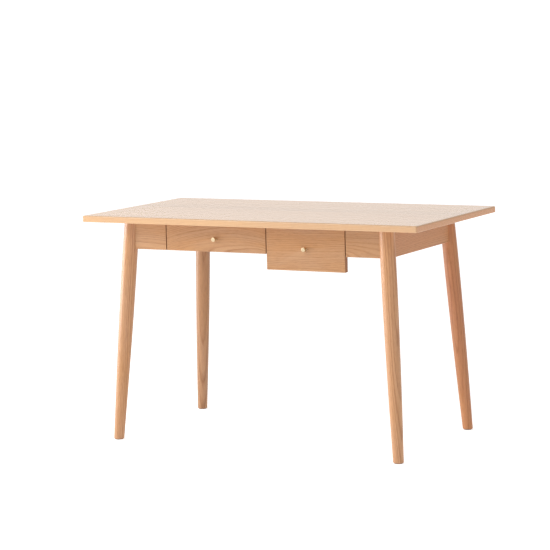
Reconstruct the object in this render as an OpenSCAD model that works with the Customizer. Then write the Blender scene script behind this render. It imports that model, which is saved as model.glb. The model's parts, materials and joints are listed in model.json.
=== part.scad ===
// Writing desk with two drawers: a solid oak top on four splayed, turned legs.
// X runs along the desk, the drawers face -Y and Z is up.
// The origin is on the floor, under the centre of the tabletop. Sizes are in millimetres.

/* [Tabletop] */
// Length of the tabletop
top_w = 1200; // [1000:5:1600]
// Depth of the tabletop, front to back
top_d = 650; // [540:5:800]
// Height of the work surface above the floor
desk_h = 750; // [620:5:900]
// Thickness of the tabletop
top_t = 21; // [17:0.5:32]
// Radius worked on the upper edges
top_round = 5; // [2:0.5:8]
// Radius worked on the lower edges
top_ease = 2; // [1:0.5:4]
// Radius of the corners, seen from above
top_corner = 4; // [2:1:20]

/* [Legs] */
// From the end of the tabletop to the leg's axis, under the top
leg_inset_x = 139; // [110:1:170]
// From the front or back edge of the tabletop to the leg's axis, under the top
leg_inset_y = 86; // [70:1:110]
// How far the foot stands outside the head along X
leg_splay_x = 49; // [0:1:70]
// How far the foot stands outside the head along Y
leg_splay_y = 45; // [0:1:60]
// Diameter at the foot
leg_foot_d = 34; // [28:1:44]
// Diameter at the fullest point
leg_belly_d = 50; // [46:1:62]
// Diameter at the head, under the tabletop
leg_head_d = 48; // [42:1:58]
// Height of the fullest point, along the leg
leg_belly_s = 590; // [400:5:600]
// Thickness of the felt pad under each foot
pad_t = 2; // [1:0.5:5]
// How far the pad's edge stays inside the foot
pad_inset = 3; // [1:0.5:6]

/* [Apron] */
// Height of the apron all round
apron_h = 92; // [82:1:120]
// Thickness of the side and rear rails
apron_t = 22; // [18:0.5:28]
// Depth of the housings that the inner rails are let into
housing_d = 6; // [3:0.5:9]

/* [Inner rails] */
// Depth, front to back, of the flat rail over the drawers
stretcher_d = 55; // [40:1:80]
// Thickness of the flat rail over the drawers
stretcher_t = 22; // [18:0.5:26]
// Gap round the legs where the flat rail is notched for them
stretcher_leg_gap = 1; // [0.5:0.5:3]
// Thickness of the rails that run front to back beside the drawers
divider_t = 22; // [18:0.5:28]
// How far those rails stop above the apron's lower edge
divider_up = 6; // [2:1:12]

/* [Drawer fronts] */
// Seam to seam width of the left, shallow front
left_front_w = 368; // [280:1:420]
// Seam to seam width of the right, deep front
right_front_w = 280; // [220:1:300]
// Height of the deep front, from the underside of the top
right_front_h = 142; // [118:1:180]
// Thickness of the drawer fronts
front_t = 20; // [16:0.5:26]
// Width of the seam between neighbouring fronts
seam_w = 2.8; // [1.5:0.1:5]
// Gap between a drawer front and the underside of the tabletop
front_top_gap = 1.6; // [1:0.1:4]
// Thickness of the felt bumpers that a front closes against
bumper_t = 1.6; // [1:0.1:3]
// Diameter of the bumpers
bumper_d = 8; // [5:0.5:10]
// How far the bumpers stay inside the edges of a front
bumper_inset = 0.3; // [0.2:0.1:1]
// Air left between a closed front and its bumpers
close_gap = 0.4; // [0.3:0.1:1]

/* [Drawer boxes] */
// Length of a drawer box, behind its front
box_l = 358; // [280:1:400]
// Height of a drawer box
box_h = 58; // [46:1:60]
// How far a box rides above the apron's lower edge
box_up = 5; // [2:1:8]
// Thickness of the box sides, inner front and back
box_t = 12; // [9:0.5:16]
// Air between a box side and the rail beside it
box_gap = 1.5; // [1:0.1:3]
// Thickness of the drawer bottom
bottom_t = 5; // [3:0.5:8]
// Height of the bottom above the lower edge of the box
bottom_up = 6; // [4:0.5:10]
// Depth of the grooves that hold the bottom
bottom_groove = 5; // [3:0.5:6]
// Air round the bottom in its grooves
bottom_gap = 0.3; // [0.2:0.1:1]
// Length of the stop block behind a drawer
stop_w = 60; // [40:1:100]
// Thickness of the stop block
stop_t = 12; // [8:1:20]
// How far the stop block overlaps the flat rail that it meets
stop_catch = 8; // [4:1:12]

/* [Runners] */
// Height of the hardwood runners
runner_h = 10; // [7:0.5:14]
// Depth of the groove that a runner fits, in the box side
runner_groove = 6; // [4:0.5:8]
// Air round a runner in its groove
runner_gap = 0.5; // [0.3:0.1:1]
// Solid wood left in front of the groove
runner_stop = 16; // [12:1:30]

/* [Knobs] */
// Length of a knob, from the front to its face
knob_l = 17; // [12:0.5:26]
// Diameter of a knob's head
knob_head_d = 14; // [11:0.5:22]
// Diameter of a knob's neck
knob_neck_d = 8; // [6:0.5:9]
// Diameter of a knob's foot, where it meets the front
knob_foot_d = 10.5; // [9.5:0.5:14]
// Height of the left knob above the apron's lower edge
left_knob_up = 42; // [30:1:56]
// Height of the right knob above the lower edge of the deep front
right_knob_up = 70; // [62:1:80]

/* [Fasteners] */
// Diameter of the bolts that hold the legs
bolt_d = 8; // [6:1:10]
// Distance from each bolt to the middle of its corner block
bolt_off = 14; // [10:1:18]
// Height of the corner blocks
block_h = 58; // [48:1:66]
// Shorter reach of a corner block along each rail
block_near = 31; // [29:1:34]
// Longer reach of a corner block along each rail
block_far = 65; // [58:1:72]
// How far a bolt reaches past the leg's axis
bolt_past = 10; // [4:1:12]
// How far a bolt stands out of its nut
bolt_out = 5; // [2:1:10]
// Diameter of the wood screws
screw_d = 4; // [3:0.5:5]
// Diameter of the dowels in the drawer corners
dowel_d = 6; // [5:0.5:8]

/* [Hidden] */
$fn = 48;

// Colours
oak = "burlywood";
oak_leg = "peru";
pale_wood = "blanchedalmond";
ply = "wheat";
brass = "gold";
steel = "silver";
felt = "saddlebrown";

// Heights
under_top = desk_h - top_t;
apron_z = under_top - apron_h;
apron_mid = under_top - apron_h / 2;
stretcher_z = under_top - stretcher_t;
divider_z = apron_z + divider_up;
box_z = apron_z + box_up;
box_mid = box_z + box_h / 2;
block_z = (apron_z + stretcher_z - block_h) / 2;
block_mid = block_z + block_h / 2;

// Leg axes: under the top, and at any height
leg_x = top_w / 2 - leg_inset_x;
leg_y = top_d / 2 - leg_inset_y;
function lean(z) = (under_top - z) / under_top;
function axis_x(z) = leg_x + leg_splay_x * lean(z);
function axis_y(z) = leg_y + leg_splay_y * lean(z);
leg_len = norm([leg_splay_x, leg_splay_y, under_top]);

// Apron faces: the side and rear rails are centred on the leg axes at mid height
out_x = axis_x(apron_mid) + apron_t / 2;
in_x = out_x - apron_t;
out_y = axis_y(apron_mid) + apron_t / 2;
in_y = out_y - apron_t;

// The fixed front panels are as thick as a drawer front with its bumper and its gap
panel_t = front_t + bumper_t + close_gap;
face_y = -out_y;
frame_y = face_y + panel_t;
front_back_y = face_y + front_t;

// Seams between the fronts, centred on the desk as a bank
bank_w = left_front_w + right_front_w;
seam_x = [-bank_w / 2, left_front_w - bank_w / 2, bank_w / 2];

// Drawers: 0 is the left one and 1 is the right one
front_z = [apron_z, under_top - right_front_h];
front_top = under_top - front_top_gap;
front_x0 = [seam_x[0] + seam_w / 2, seam_x[1] + seam_w / 2];
front_x1 = [seam_x[1] - seam_w / 2, seam_x[2] - seam_w / 2];
box_inset = divider_t / 2 + box_gap;
box_x0 = [seam_x[0] + box_inset, seam_x[1] + box_inset];
box_x1 = [seam_x[1] - box_inset, seam_x[2] - box_inset];
knob_x = [(seam_x[0] + seam_x[1]) / 2, (seam_x[1] + seam_x[2]) / 2];
knob_z = [front_z[0] + left_knob_up, front_z[1] + right_knob_up];
box_end_y = front_back_y + box_l;
back_y = box_end_y - box_t;
bottom_z = box_z + bottom_up;

// Runners
runner_t = box_gap + runner_groove - runner_gap;
runner_y = front_back_y + runner_stop + runner_gap;
runner_len = box_l - runner_stop - runner_gap;

// Screw lengths and the thread that each leaves in the far piece
bite = 13;
block_screw_q = (block_near + block_far) / 2;
block_screw_sink = 5;
block_screw_p = block_far - block_screw_q - block_screw_sink;
block_screw_edge = 9;
block_screw_off = block_h / 2 - block_screw_edge;
block_screw_room = 0.5;

// Tabletop buttons: L-shaped blocks whose tongues sit in slots in the rails
button_w = 30;
button_l = 34;
button_h = 18;
tongue_l = 10;
tongue_t = 8;
tongue_down = 10;
slot_side = 5;
slot_gap = 0.5;
button_gap = 1;
button_screw_y = -button_l / 2 - 4;
side_button_y = 105;
rear_button_x = [-(bank_w / 2 - left_front_w / 2), bank_w / 4];

// ---------- shared shapes ----------

// A countersunk wood screw pointing down, with the top of its head at z = 0
module screw_body(l, d) {
    translate([0, 0, -d / 2]) cylinder(h = d / 2, r1 = d / 2, r2 = d);
    translate([0, 0, d - l]) cylinder(h = l - d * 1.5, r = d / 2);
    translate([0, 0, -l]) cylinder(h = d, r1 = d / 8, r2 = d / 2);
}

// The same screw with the cross recess in its head
module screw(l, d) {
    slot_w = d / 4;
    slot_deep = d * 0.35;
    difference() {
        screw_body(l, d);
        for (a = [0, 90])
            rotate([0, 0, a])
                translate([-d * 0.55, -slot_w / 2, -slot_deep])
                    cube([d * 1.1, slot_w, slot_deep * 2]);
    }
}

// Either of the two, so that a hole always has the screw's own place
module fastener(l, d, hole) {
    if (hole) screw_body(l, d);
    else screw(l, d);
}

// Half-width of a leg at the distance s up its axis: a long swell, then a slight narrowing
function leg_r(s) =
    s < 0 ? leg_foot_d / 2 :
    s < leg_belly_s ? leg_foot_d / 2 + (leg_belly_d - leg_foot_d) / 2 * sin(90 * s / leg_belly_s) :
    leg_head_d / 2 + (leg_belly_d - leg_head_d) / 2
        * cos(90 * min(1, (s - leg_belly_s) / (leg_len - leg_belly_s)));

// A whole turned leg along its axis, longer than needed at both ends, grown by g all round
module leg_blank(sx, sy, g = 0) {
    over = 12;
    steps = 30;
    outline = [for (i = [0:steps]) let (s = -over + (leg_len + 2 * over) * i / steps) [leg_r(s) + g, s]];
    tilt = acos(under_top / leg_len);
    turn = atan2(-sy * leg_splay_y, -sx * leg_splay_x);
    // The outline starts off to one side of the lean, clear of the lowest point of the foot
    start = 130;
    translate([sx * axis_x(0), sy * axis_y(0), 0])
        rotate([0, tilt, turn])
            rotate([0, 0, start]) rotate_extrude($fn = 96)
                polygon(concat([[0, -over]], outline, [[0, leg_len + over]]));
}

module all_leg_blanks(g = 0)
    for (sx = [-1, 1], sy = [-1, 1]) leg_blank(sx, sy, g);

// A corner's own frame: the origin is where the inner faces of the two rails would meet
function corner_y(sy) = sy < 0 ? frame_y : in_y;
module at_corner(sx, sy, z)
    translate([sx * in_x, corner_y(sy), z]) children();

// Along the corner's diagonal, with local Z pointing inwards
module along_diagonal(sx, sy)
    rotate([0, 0, atan2(-sy, -sx)]) rotate([0, 90, 0]) children();

// The bolts run from just past the leg's axis, through the block and out of the nut
block_face = block_far / sqrt(2);
washer_t = 1.6;
washer_d = 2 * bolt_d;
washer_gap = 0.4;
nut_t = 6.5;
nut_d = 1.85 * bolt_d;
block_bolt_gap = 1;
bolt_start = -(axis_x(apron_mid) - in_x) * sqrt(2) - bolt_past;
bolt_end = block_face + washer_t + nut_t + bolt_out;

module bolt_shanks(sx, sy, d)
    for (dz = [-bolt_off, bolt_off])
        at_corner(sx, sy, block_mid + dz)
            along_diagonal(sx, sy)
                translate([0, 0, bolt_start]) cylinder(h = bolt_end - bolt_start, d = d);

// Screws through a corner block's ends: end 0 goes into the side rail, end 1 into the front or rear
module block_screws(sx, sy, end, hole = false)
    for (dz = [-block_screw_off, block_screw_off])
        at_corner(sx, sy, block_mid + dz)
            if (end == 0)
                translate([-sx * block_screw_p, -sy * block_screw_q, 0])
                    rotate([0, -sx * 90, 0]) fastener(block_screw_p + bite, screw_d, hole);
            else
                translate([-sx * block_screw_q, -sy * block_screw_p, 0])
                    rotate([sy * 90, 0, 0]) fastener(block_screw_p + bite, screw_d, hole);

// ---------- tabletop ----------

// A slab's edge profile: radius a on the upper corners and b on the lower ones
module edge_profile(w, t, a, b) {
    translate([-w / 2 + a, 0]) square([w - 2 * a, t]);
    translate([-w / 2 + b, 0]) square([w - 2 * b, t - a]);
    translate([-w / 2, b]) square([w, t - a - b]);
    for (s = [-1, 1]) {
        translate([s * (w / 2 - a), t - a]) circle(r = a);
        translate([s * (w / 2 - b), b]) circle(r = b);
    }
}

module slab()
    translate([0, 0, under_top])
        intersection() {
            rotate([90, 0, 0]) linear_extrude(top_d + 2, center = true)
                edge_profile(top_w, top_t, top_round, top_ease);
            rotate([90, 0, 90]) linear_extrude(top_w + 2, center = true)
                edge_profile(top_d, top_t, top_round, top_ease);
            linear_extrude(top_t + 2) {
                square([top_w - 2 * top_corner, top_d], center = true);
                square([top_w, top_d - 2 * top_corner], center = true);
                for (sx = [-1, 1], sy = [-1, 1])
                    translate([sx * (top_w / 2 - top_corner), sy * (top_d / 2 - top_corner)])
                        circle(r = top_corner);
            }
        }

// Screws that go up into the top stop short of the work surface
top_bite = top_t * 0.6;
stretcher_screw_x = [-in_x + block_far, knob_x[0], knob_x[1], in_x - block_far];

module stretcher_screw_set(hole = false)
    for (x = stretcher_screw_x)
        translate([x, frame_y + stretcher_d / 2, stretcher_z])
            rotate([180, 0, 0]) fastener(stretcher_t + top_bite, screw_d, hole);

// Each button in its own frame: the rail's inner face is at y = 0 and the button lies at y < 0
module at_buttons() {
    for (s = [-1, 1], y = [-side_button_y, side_button_y])
        translate([s * in_x, y, under_top]) rotate([0, 0, s < 0 ? 90 : -90]) children();
    for (x = rear_button_x)
        translate([x, in_y, under_top]) children();
}

module button_body()
    difference() {
        union() {
            translate([-button_w / 2, -button_l - button_gap, -button_h])
                cube([button_w, button_l, button_h]);
            translate([-button_w / 2, -button_l / 2, -tongue_down - tongue_t])
                cube([button_w, button_l / 2 + tongue_l, tongue_t]);
        }
        translate([0, button_screw_y, -button_h]) rotate([180, 0, 0])
            screw_body(button_h + top_bite, screw_d);
    }

module button_screw_set(hole = false)
    at_buttons()
        translate([0, button_screw_y, -button_h]) rotate([180, 0, 0])
            fastener(button_h + top_bite, screw_d, hole);

// The slots are longer than the tongues, so that the top can move with the seasons
module button_slots()
    at_buttons()
        translate([-button_w / 2 - slot_side, -1, -tongue_down - tongue_t - slot_gap])
            cube([button_w + 2 * slot_side, tongue_l + 2, tongue_t + 2 * slot_gap]);

module tabletop()
    color(oak) difference() {
        slab();
        stretcher_screw_set(true);
        button_screw_set(true);
    }

// ---------- legs ----------

module leg(sx, sy)
    color(oak_leg) difference() {
        intersection() {
            leg_blank(sx, sy);
            translate([0, 0, (pad_t + under_top) / 2])
                cube([2 * top_w, 2 * top_d, under_top - pad_t], center = true);
        }
        bolt_shanks(sx, sy, bolt_d);
    }

module leg_front_left() leg(-1, -1);
module leg_front_right() leg(1, -1);
module leg_rear_left() leg(-1, 1);
module leg_rear_right() leg(1, 1);

module foot_pads()
    color(felt) for (sx = [-1, 1], sy = [-1, 1])
        translate([sx * axis_x(pad_t), sy * axis_y(pad_t), 0])
            cylinder(h = pad_t, d = leg_foot_d - 2 * pad_inset);

// ---------- apron ----------

module side_rail(sx)
    color(oak) difference() {
        translate([sx > 0 ? in_x : -out_x, -axis_y(apron_mid), apron_z])
            cube([apron_t, 2 * axis_y(apron_mid), apron_h]);
        for (sy = [-1, 1]) {
            leg_blank(sx, sy);
            bolt_shanks(sx, sy, bolt_d);
            block_screws(sx, sy, 0, true);
        }
        button_slots();
        translate([sx > 0 ? 0 : -in_x - housing_d, frame_y, stretcher_z])
            cube([in_x + housing_d, stretcher_d, stretcher_t + 1]);
    }

module side_rail_left() side_rail(-1);
module side_rail_right() side_rail(1);

module rear_rail()
    color(oak) difference() {
        translate([-axis_x(apron_mid), in_y, apron_z])
            cube([2 * axis_x(apron_mid), apron_t, apron_h]);
        for (sx = [-1, 1]) {
            leg_blank(sx, 1);
            bolt_shanks(sx, 1, bolt_d);
            block_screws(sx, 1, 1, true);
        }
        button_slots();
        for (x = seam_x)
            translate([x - divider_t / 2, in_y - 1, divider_z])
                cube([divider_t, housing_d + 1, apron_h]);
    }

// The fixed panels fill the front from the legs to the drawers
module front_panel(sx)
    color(oak) difference() {
        translate([sx > 0 ? seam_x[2] + seam_w / 2 : -axis_x(apron_mid), face_y, apron_z])
            cube([axis_x(apron_mid) - bank_w / 2 - seam_w / 2, panel_t, apron_h]);
        leg_blank(sx, -1);
        bolt_shanks(sx, -1, bolt_d);
        block_screws(sx, -1, 1, true);
    }

module front_panel_left() front_panel(-1);
module front_panel_right() front_panel(1);

// ---------- inner rails ----------

module front_stretcher()
    color(pale_wood) difference() {
        translate([-in_x - housing_d, frame_y, stretcher_z])
            cube([2 * (in_x + housing_d), stretcher_d, stretcher_t]);
        for (sx = [-1, 1]) leg_blank(sx, -1, stretcher_leg_gap);
        stretcher_screw_set(true);
    }

// A rail beside a drawer, notched under the flat rail and let into the rear rail
module divider(i)
    color(pale_wood) difference() {
        translate([seam_x[i] - divider_t / 2, frame_y, divider_z])
            cube([divider_t, in_y + housing_d - frame_y, under_top - divider_z]);
        translate([seam_x[i] - divider_t, frame_y - 1, stretcher_z])
            cube([2 * divider_t, stretcher_d + 1, stretcher_t + 1]);
        runner_screw_set(true);
    }

module divider_left() divider(0);
module divider_centre() divider(1);
module divider_right() divider(2);

module corner_block(sx, sy)
    color(pale_wood) difference() {
        at_corner(sx, sy, block_z)
            linear_extrude(block_h)
                polygon([[0, -sy * block_near], [0, -sy * block_far],
                         [-sx * block_far, 0], [-sx * block_near, 0]]);
        bolt_shanks(sx, sy, bolt_d + block_bolt_gap);
        for (end = [0, 1]) block_screws(sx, sy, end, true);
        for (dz = [-block_screw_off, block_screw_off])
            at_corner(sx, sy, block_mid + dz) {
                translate([-sx * block_screw_p, -sy * block_screw_q, 0])
                    rotate([0, -sx * 90, 0]) cylinder(h = block_far, r = screw_d + block_screw_room);
                translate([-sx * block_screw_q, -sy * block_screw_p, 0])
                    rotate([sy * 90, 0, 0]) cylinder(h = block_far, r = screw_d + block_screw_room);
            }
    }

module corner_block_front_left() corner_block(-1, -1);
module corner_block_front_right() corner_block(1, -1);
module corner_block_rear_left() corner_block(-1, 1);
module corner_block_rear_right() corner_block(1, 1);

// ---------- fasteners of the frame ----------

module hanger_bolts()
    color(steel) for (sx = [-1, 1], sy = [-1, 1]) bolt_shanks(sx, sy, bolt_d);

module on_bolts(u)
    for (sx = [-1, 1], sy = [-1, 1], dz = [-bolt_off, bolt_off])
        at_corner(sx, sy, block_mid + dz)
            along_diagonal(sx, sy) translate([0, 0, u]) children();

module hanger_washers()
    color(steel) on_bolts(block_face)
        difference() {
            cylinder(h = washer_t, d = washer_d);
            translate([0, 0, -1]) cylinder(h = washer_t + 2, d = bolt_d + washer_gap);
        }

module hanger_nuts()
    color(steel) on_bolts(block_face + washer_t)
        difference() {
            cylinder(h = nut_t, d = nut_d, $fn = 6);
            translate([0, 0, -1]) cylinder(h = nut_t + 2, d = bolt_d);
        }

module corner_block_screws()
    color(steel) for (sx = [-1, 1], sy = [-1, 1], end = [0, 1]) block_screws(sx, sy, end);

module tabletop_buttons()
    color(pale_wood) at_buttons() button_body();

module button_screws()
    color(steel) button_screw_set();

module stretcher_screws()
    color(steel) stretcher_screw_set();

// ---------- runners ----------

// Each runner's place: the seam it stands beside, and the side of the rail that it is on
RUNNERS = [[0, 1], [1, -1], [1, 1], [2, -1]];
runner_screw_l = runner_t + divider_t * 0.4;
runner_screw_end = 20;
runner_screw_step = (runner_len - 2 * runner_screw_end) / 2;
small_screw_d = screw_d * 0.8;

module runner_screws_on(i, side, hole)
    for (n = [0:2])
        translate([seam_x[i] + side * (divider_t / 2 + runner_t),
                   runner_y + runner_screw_end + n * runner_screw_step, box_mid])
            rotate([0, side * 90, 0]) fastener(runner_screw_l, small_screw_d, hole);

module runner_screw_set(hole = false)
    for (r = RUNNERS) runner_screws_on(r[0], r[1], hole);

module runner(n)
    color(oak) difference() {
        i = RUNNERS[n][0];
        side = RUNNERS[n][1];
        translate([seam_x[i] + (side > 0 ? divider_t / 2 : -divider_t / 2 - runner_t),
                   runner_y, box_mid - runner_h / 2])
            cube([runner_t, runner_len, runner_h]);
        runner_screws_on(RUNNERS[n][0], RUNNERS[n][1], true);
    }

module runner_left_outer() runner(0);
module runner_left_inner() runner(1);
module runner_right_inner() runner(2);
module runner_right_outer() runner(3);

module runner_screws()
    color(steel) runner_screw_set();

// Bumpers on the front ends of the rails, two behind each edge of each drawer front
bumper_in = seam_w / 2 + bumper_inset + bumper_d / 2;
bumper_x = [seam_x[0] + bumper_in, seam_x[1] - bumper_in, seam_x[1] + bumper_in, seam_x[2] - bumper_in];

module drawer_bumpers()
    color(felt) for (x = bumper_x, z = [divider_z + bumper_d, stretcher_z - bumper_d])
        translate([x, frame_y, z]) rotate([90, 0, 0]) cylinder(h = bumper_t, d = bumper_d);

// ---------- drawers ----------

// Screws that hold the front to the box, from inside
front_screw_in = 28;
module front_screw_set(n, hole)
    for (x = [box_x0[n] + box_t + front_screw_in, box_x1[n] - box_t - front_screw_in],
         z = [box_mid - box_h / 5, box_mid + box_h / 4])
        translate([x, front_back_y + box_t, z])
            rotate([-90, 0, 0]) fastener(box_t + front_t * 0.7, screw_d, hole);

// Screws up through the bottom into the back
module bottom_screw_set(n, hole)
    for (t = [0.15, 0.5, 0.85])
        translate([box_x0[n] + t * (box_x1[n] - box_x0[n]), back_y + box_t / 2, bottom_z])
            rotate([180, 0, 0]) fastener(bottom_t + bite, small_screw_d, hole);

// Screws through the stop block into the back
module stop_screw_set(n, hole)
    for (s = [-1, 1])
        translate([knob_x[n] + s * stop_w / 3, box_end_y + stop_t, box_mid + box_h / 6])
            rotate([-90, 0, 0]) fastener(stop_t + box_t * 0.7, small_screw_d, hole);

// Dowels through the sides into the inner front and the back
dowel_in = 18;
dowel_l = box_t + dowel_in;
module dowel_set(n)
    for (s = [-1, 1], y = [front_back_y + box_t / 2, back_y + box_t / 2], t = [0.3, 0.82])
        translate([s < 0 ? box_x0[n] : box_x1[n], y, box_z + t * box_h])
            rotate([0, -s * 90, 0]) cylinder(h = dowel_l, d = dowel_d);

// The machine screw that holds the knob, and the hole for it
knob_screw_d = 4;
knob_screw_gap = 0.5;
knob_thread = 8;
knob_screw_head_t = 2.4;
knob_screw_slot = 1;
module knob_screw(n)
    translate([knob_x[n], front_back_y, knob_z[n]])
        rotate([90, 0, 0]) {
            seat = box_t;
            translate([0, 0, -seat]) cylinder(h = seat + front_t + knob_thread, d = knob_screw_d);
            difference() {
                translate([0, 0, -seat - knob_screw_head_t])
                    cylinder(h = knob_screw_head_t, d = 2 * knob_screw_d);
                for (a = [0, 90]) rotate([0, 0, a])
                    translate([-0.6 * knob_screw_d, -knob_screw_slot / 2, -seat - 1.25 * knob_screw_head_t])
                        cube([1.2 * knob_screw_d, knob_screw_slot, 2]);
            }
        }

module knob_screw_hole(n)
    translate([knob_x[n], front_back_y + box_t + 1, knob_z[n]])
        rotate([90, 0, 0]) cylinder(h = box_t + front_t + 2, d = knob_screw_d + knob_screw_gap);

module drawer_front(n)
    color(oak) difference() {
        translate([front_x0[n], face_y, front_z[n]])
            cube([front_x1[n] - front_x0[n], front_t, front_top - front_z[n]]);
        knob_screw_hole(n);
        front_screw_set(n, true);
    }

module drawer_inner_front(n)
    color(pale_wood) difference() {
        translate([box_x0[n] + box_t, front_back_y, box_z])
            cube([box_x1[n] - box_x0[n] - 2 * box_t, box_t, box_h]);
        knob_screw_hole(n);
        front_screw_set(n, true);
        dowel_set(n);
        translate([box_x0[n], front_back_y + box_t - bottom_groove, bottom_z])
            cube([box_x1[n] - box_x0[n], box_t, bottom_t + bottom_gap]);
    }

// s is -1 for the side on the left and 1 for the side on the right
module drawer_side(n, s)
    color(pale_wood) difference() {
        translate([s < 0 ? box_x0[n] : box_x1[n] - box_t, front_back_y, box_z])
            cube([box_t, box_l, box_h]);
        translate([s < 0 ? box_x0[n] - 1 : box_x1[n] - runner_groove,
                   front_back_y + runner_stop, box_mid - runner_h / 2 - runner_gap])
            cube([runner_groove + 1, box_l, runner_h + 2 * runner_gap]);
        translate([box_x0[n] + box_t - bottom_groove, front_back_y + box_t - bottom_groove, bottom_z])
            cube([box_x1[n] - box_x0[n] - 2 * box_t + 2 * bottom_groove, box_l, bottom_t + bottom_gap]);
        dowel_set(n);
    }

module drawer_back(n)
    color(pale_wood) difference() {
        translate([box_x0[n] + box_t, back_y, bottom_z + bottom_t])
            cube([box_x1[n] - box_x0[n] - 2 * box_t, box_t, box_h - bottom_up - bottom_t]);
        bottom_screw_set(n, true);
        stop_screw_set(n, true);
        dowel_set(n);
    }

module drawer_bottom(n)
    color(ply) difference() {
        grip = bottom_groove - bottom_gap;
        translate([box_x0[n] + box_t - grip, front_back_y + box_t - grip, bottom_z])
            cube([box_x1[n] - box_x0[n] - 2 * box_t + 2 * grip, box_l - box_t + grip, bottom_t]);
        bottom_screw_set(n, true);
    }

// The stop block meets the flat rail when the drawer is pulled right out
module drawer_stop(n)
    color(oak) difference() {
        translate([knob_x[n] - stop_w / 2, box_end_y, box_mid])
            cube([stop_w, stop_t, stretcher_z + stop_catch - box_mid]);
        stop_screw_set(n, true);
    }

// A turned knob: a small foot, a slim neck and a flat head with a rounded rim
module drawer_knob(n) {
    foot_l = 1.6;
    head_l = knob_l * 0.42;
    rim = 1.6;
    neck_end = knob_l - head_l;
    arc = [for (a = [0:15:90]) [knob_head_d / 2 - rim + rim * cos(a), knob_l - rim + rim * sin(a)]];
    flare = [for (t = [0:0.2:1]) [knob_neck_d / 2 + (knob_head_d - knob_neck_d) / 2 * (1 - cos(90 * t)),
                                  foot_l + 1.2 + (neck_end - foot_l - 1.2) * sin(90 * t)]];
    color(brass) translate([knob_x[n], face_y, knob_z[n]]) rotate([90, 0, 0])
        difference() {
            rotate_extrude($fn = 64)
                polygon(concat([[0, 0], [knob_foot_d / 2, 0], [knob_foot_d / 2, foot_l]],
                               flare, arc, [[0, knob_l]]));
            translate([0, 0, -1]) cylinder(h = knob_thread + 1, d = knob_screw_d);
        }
}

module drawer_screw_set(n)
    color(steel) {
        front_screw_set(n, false);
        bottom_screw_set(n, false);
        stop_screw_set(n, false);
    }

module left_drawer_front() drawer_front(0);
module left_drawer_inner_front() drawer_inner_front(0);
module left_drawer_side_left() drawer_side(0, -1);
module left_drawer_side_right() drawer_side(0, 1);
module left_drawer_back() drawer_back(0);
module left_drawer_bottom() drawer_bottom(0);
module left_drawer_stop() drawer_stop(0);
module left_drawer_knob() drawer_knob(0);
module left_drawer_knob_screw() color(steel) knob_screw(0);
module left_drawer_screws() drawer_screw_set(0);
module left_drawer_dowels() color(oak) dowel_set(0);

module right_drawer_front() drawer_front(1);
module right_drawer_inner_front() drawer_inner_front(1);
module right_drawer_side_left() drawer_side(1, -1);
module right_drawer_side_right() drawer_side(1, 1);
module right_drawer_back() drawer_back(1);
module right_drawer_bottom() drawer_bottom(1);
module right_drawer_stop() drawer_stop(1);
module right_drawer_knob() drawer_knob(1);
module right_drawer_knob_screw() color(steel) knob_screw(1);
module right_drawer_screws() drawer_screw_set(1);
module right_drawer_dowels() color(oak) dowel_set(1);

tabletop();
leg_front_left();
leg_front_right();
leg_rear_left();
leg_rear_right();
foot_pads();
side_rail_left();
side_rail_right();
rear_rail();
front_panel_left();
front_panel_right();
front_stretcher();
divider_left();
divider_centre();
divider_right();
corner_block_front_left();
corner_block_front_right();
corner_block_rear_left();
corner_block_rear_right();
hanger_bolts();
hanger_washers();
hanger_nuts();
corner_block_screws();
tabletop_buttons();
button_screws();
stretcher_screws();
runner_left_outer();
runner_left_inner();
runner_right_inner();
runner_right_outer();
runner_screws();
drawer_bumpers();
left_drawer_front();
left_drawer_inner_front();
left_drawer_side_left();
left_drawer_side_right();
left_drawer_back();
left_drawer_bottom();
left_drawer_stop();
left_drawer_knob();
left_drawer_knob_screw();
left_drawer_screws();
left_drawer_dowels();
right_drawer_front();
right_drawer_inner_front();
right_drawer_side_left();
right_drawer_side_right();
right_drawer_back();
right_drawer_bottom();
right_drawer_stop();
right_drawer_knob();
right_drawer_knob_screw();
right_drawer_screws();
right_drawer_dowels();
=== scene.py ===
"""Oak writing desk with two drawers: its pieces and finishes, built round the desk's fixed frame."""

import json
import math

import bmesh
import bpy
import numpy as np
from mathutils import Euler, Matrix, Vector

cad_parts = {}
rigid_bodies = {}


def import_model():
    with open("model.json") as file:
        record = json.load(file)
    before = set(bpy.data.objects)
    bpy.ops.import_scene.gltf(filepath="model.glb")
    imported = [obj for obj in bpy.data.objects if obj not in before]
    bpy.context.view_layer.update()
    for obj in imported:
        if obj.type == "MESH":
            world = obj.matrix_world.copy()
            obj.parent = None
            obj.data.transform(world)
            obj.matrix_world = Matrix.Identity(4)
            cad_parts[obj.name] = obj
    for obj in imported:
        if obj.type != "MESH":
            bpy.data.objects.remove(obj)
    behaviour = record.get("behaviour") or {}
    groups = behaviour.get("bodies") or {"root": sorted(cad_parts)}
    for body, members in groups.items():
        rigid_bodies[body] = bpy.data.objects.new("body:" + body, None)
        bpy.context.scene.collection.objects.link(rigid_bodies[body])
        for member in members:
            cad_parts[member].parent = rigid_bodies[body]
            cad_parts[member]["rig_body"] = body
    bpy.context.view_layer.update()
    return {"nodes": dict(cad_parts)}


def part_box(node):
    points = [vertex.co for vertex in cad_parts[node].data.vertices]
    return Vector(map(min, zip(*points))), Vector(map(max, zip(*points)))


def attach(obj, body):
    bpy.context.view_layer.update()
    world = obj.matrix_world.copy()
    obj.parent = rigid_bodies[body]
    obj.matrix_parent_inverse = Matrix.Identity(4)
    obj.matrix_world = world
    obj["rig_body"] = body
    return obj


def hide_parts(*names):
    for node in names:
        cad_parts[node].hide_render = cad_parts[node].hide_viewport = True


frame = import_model()

bl_info = {
    "name": "Writing desk",
    "version": (1, 0, 0),
    "blender": (4, 5, 0),
    "location": "3D View > Sidebar > Desk",
    "description": "Builds an oak writing desk with two drawers round its frame",
    "category": "Object",
}

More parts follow.
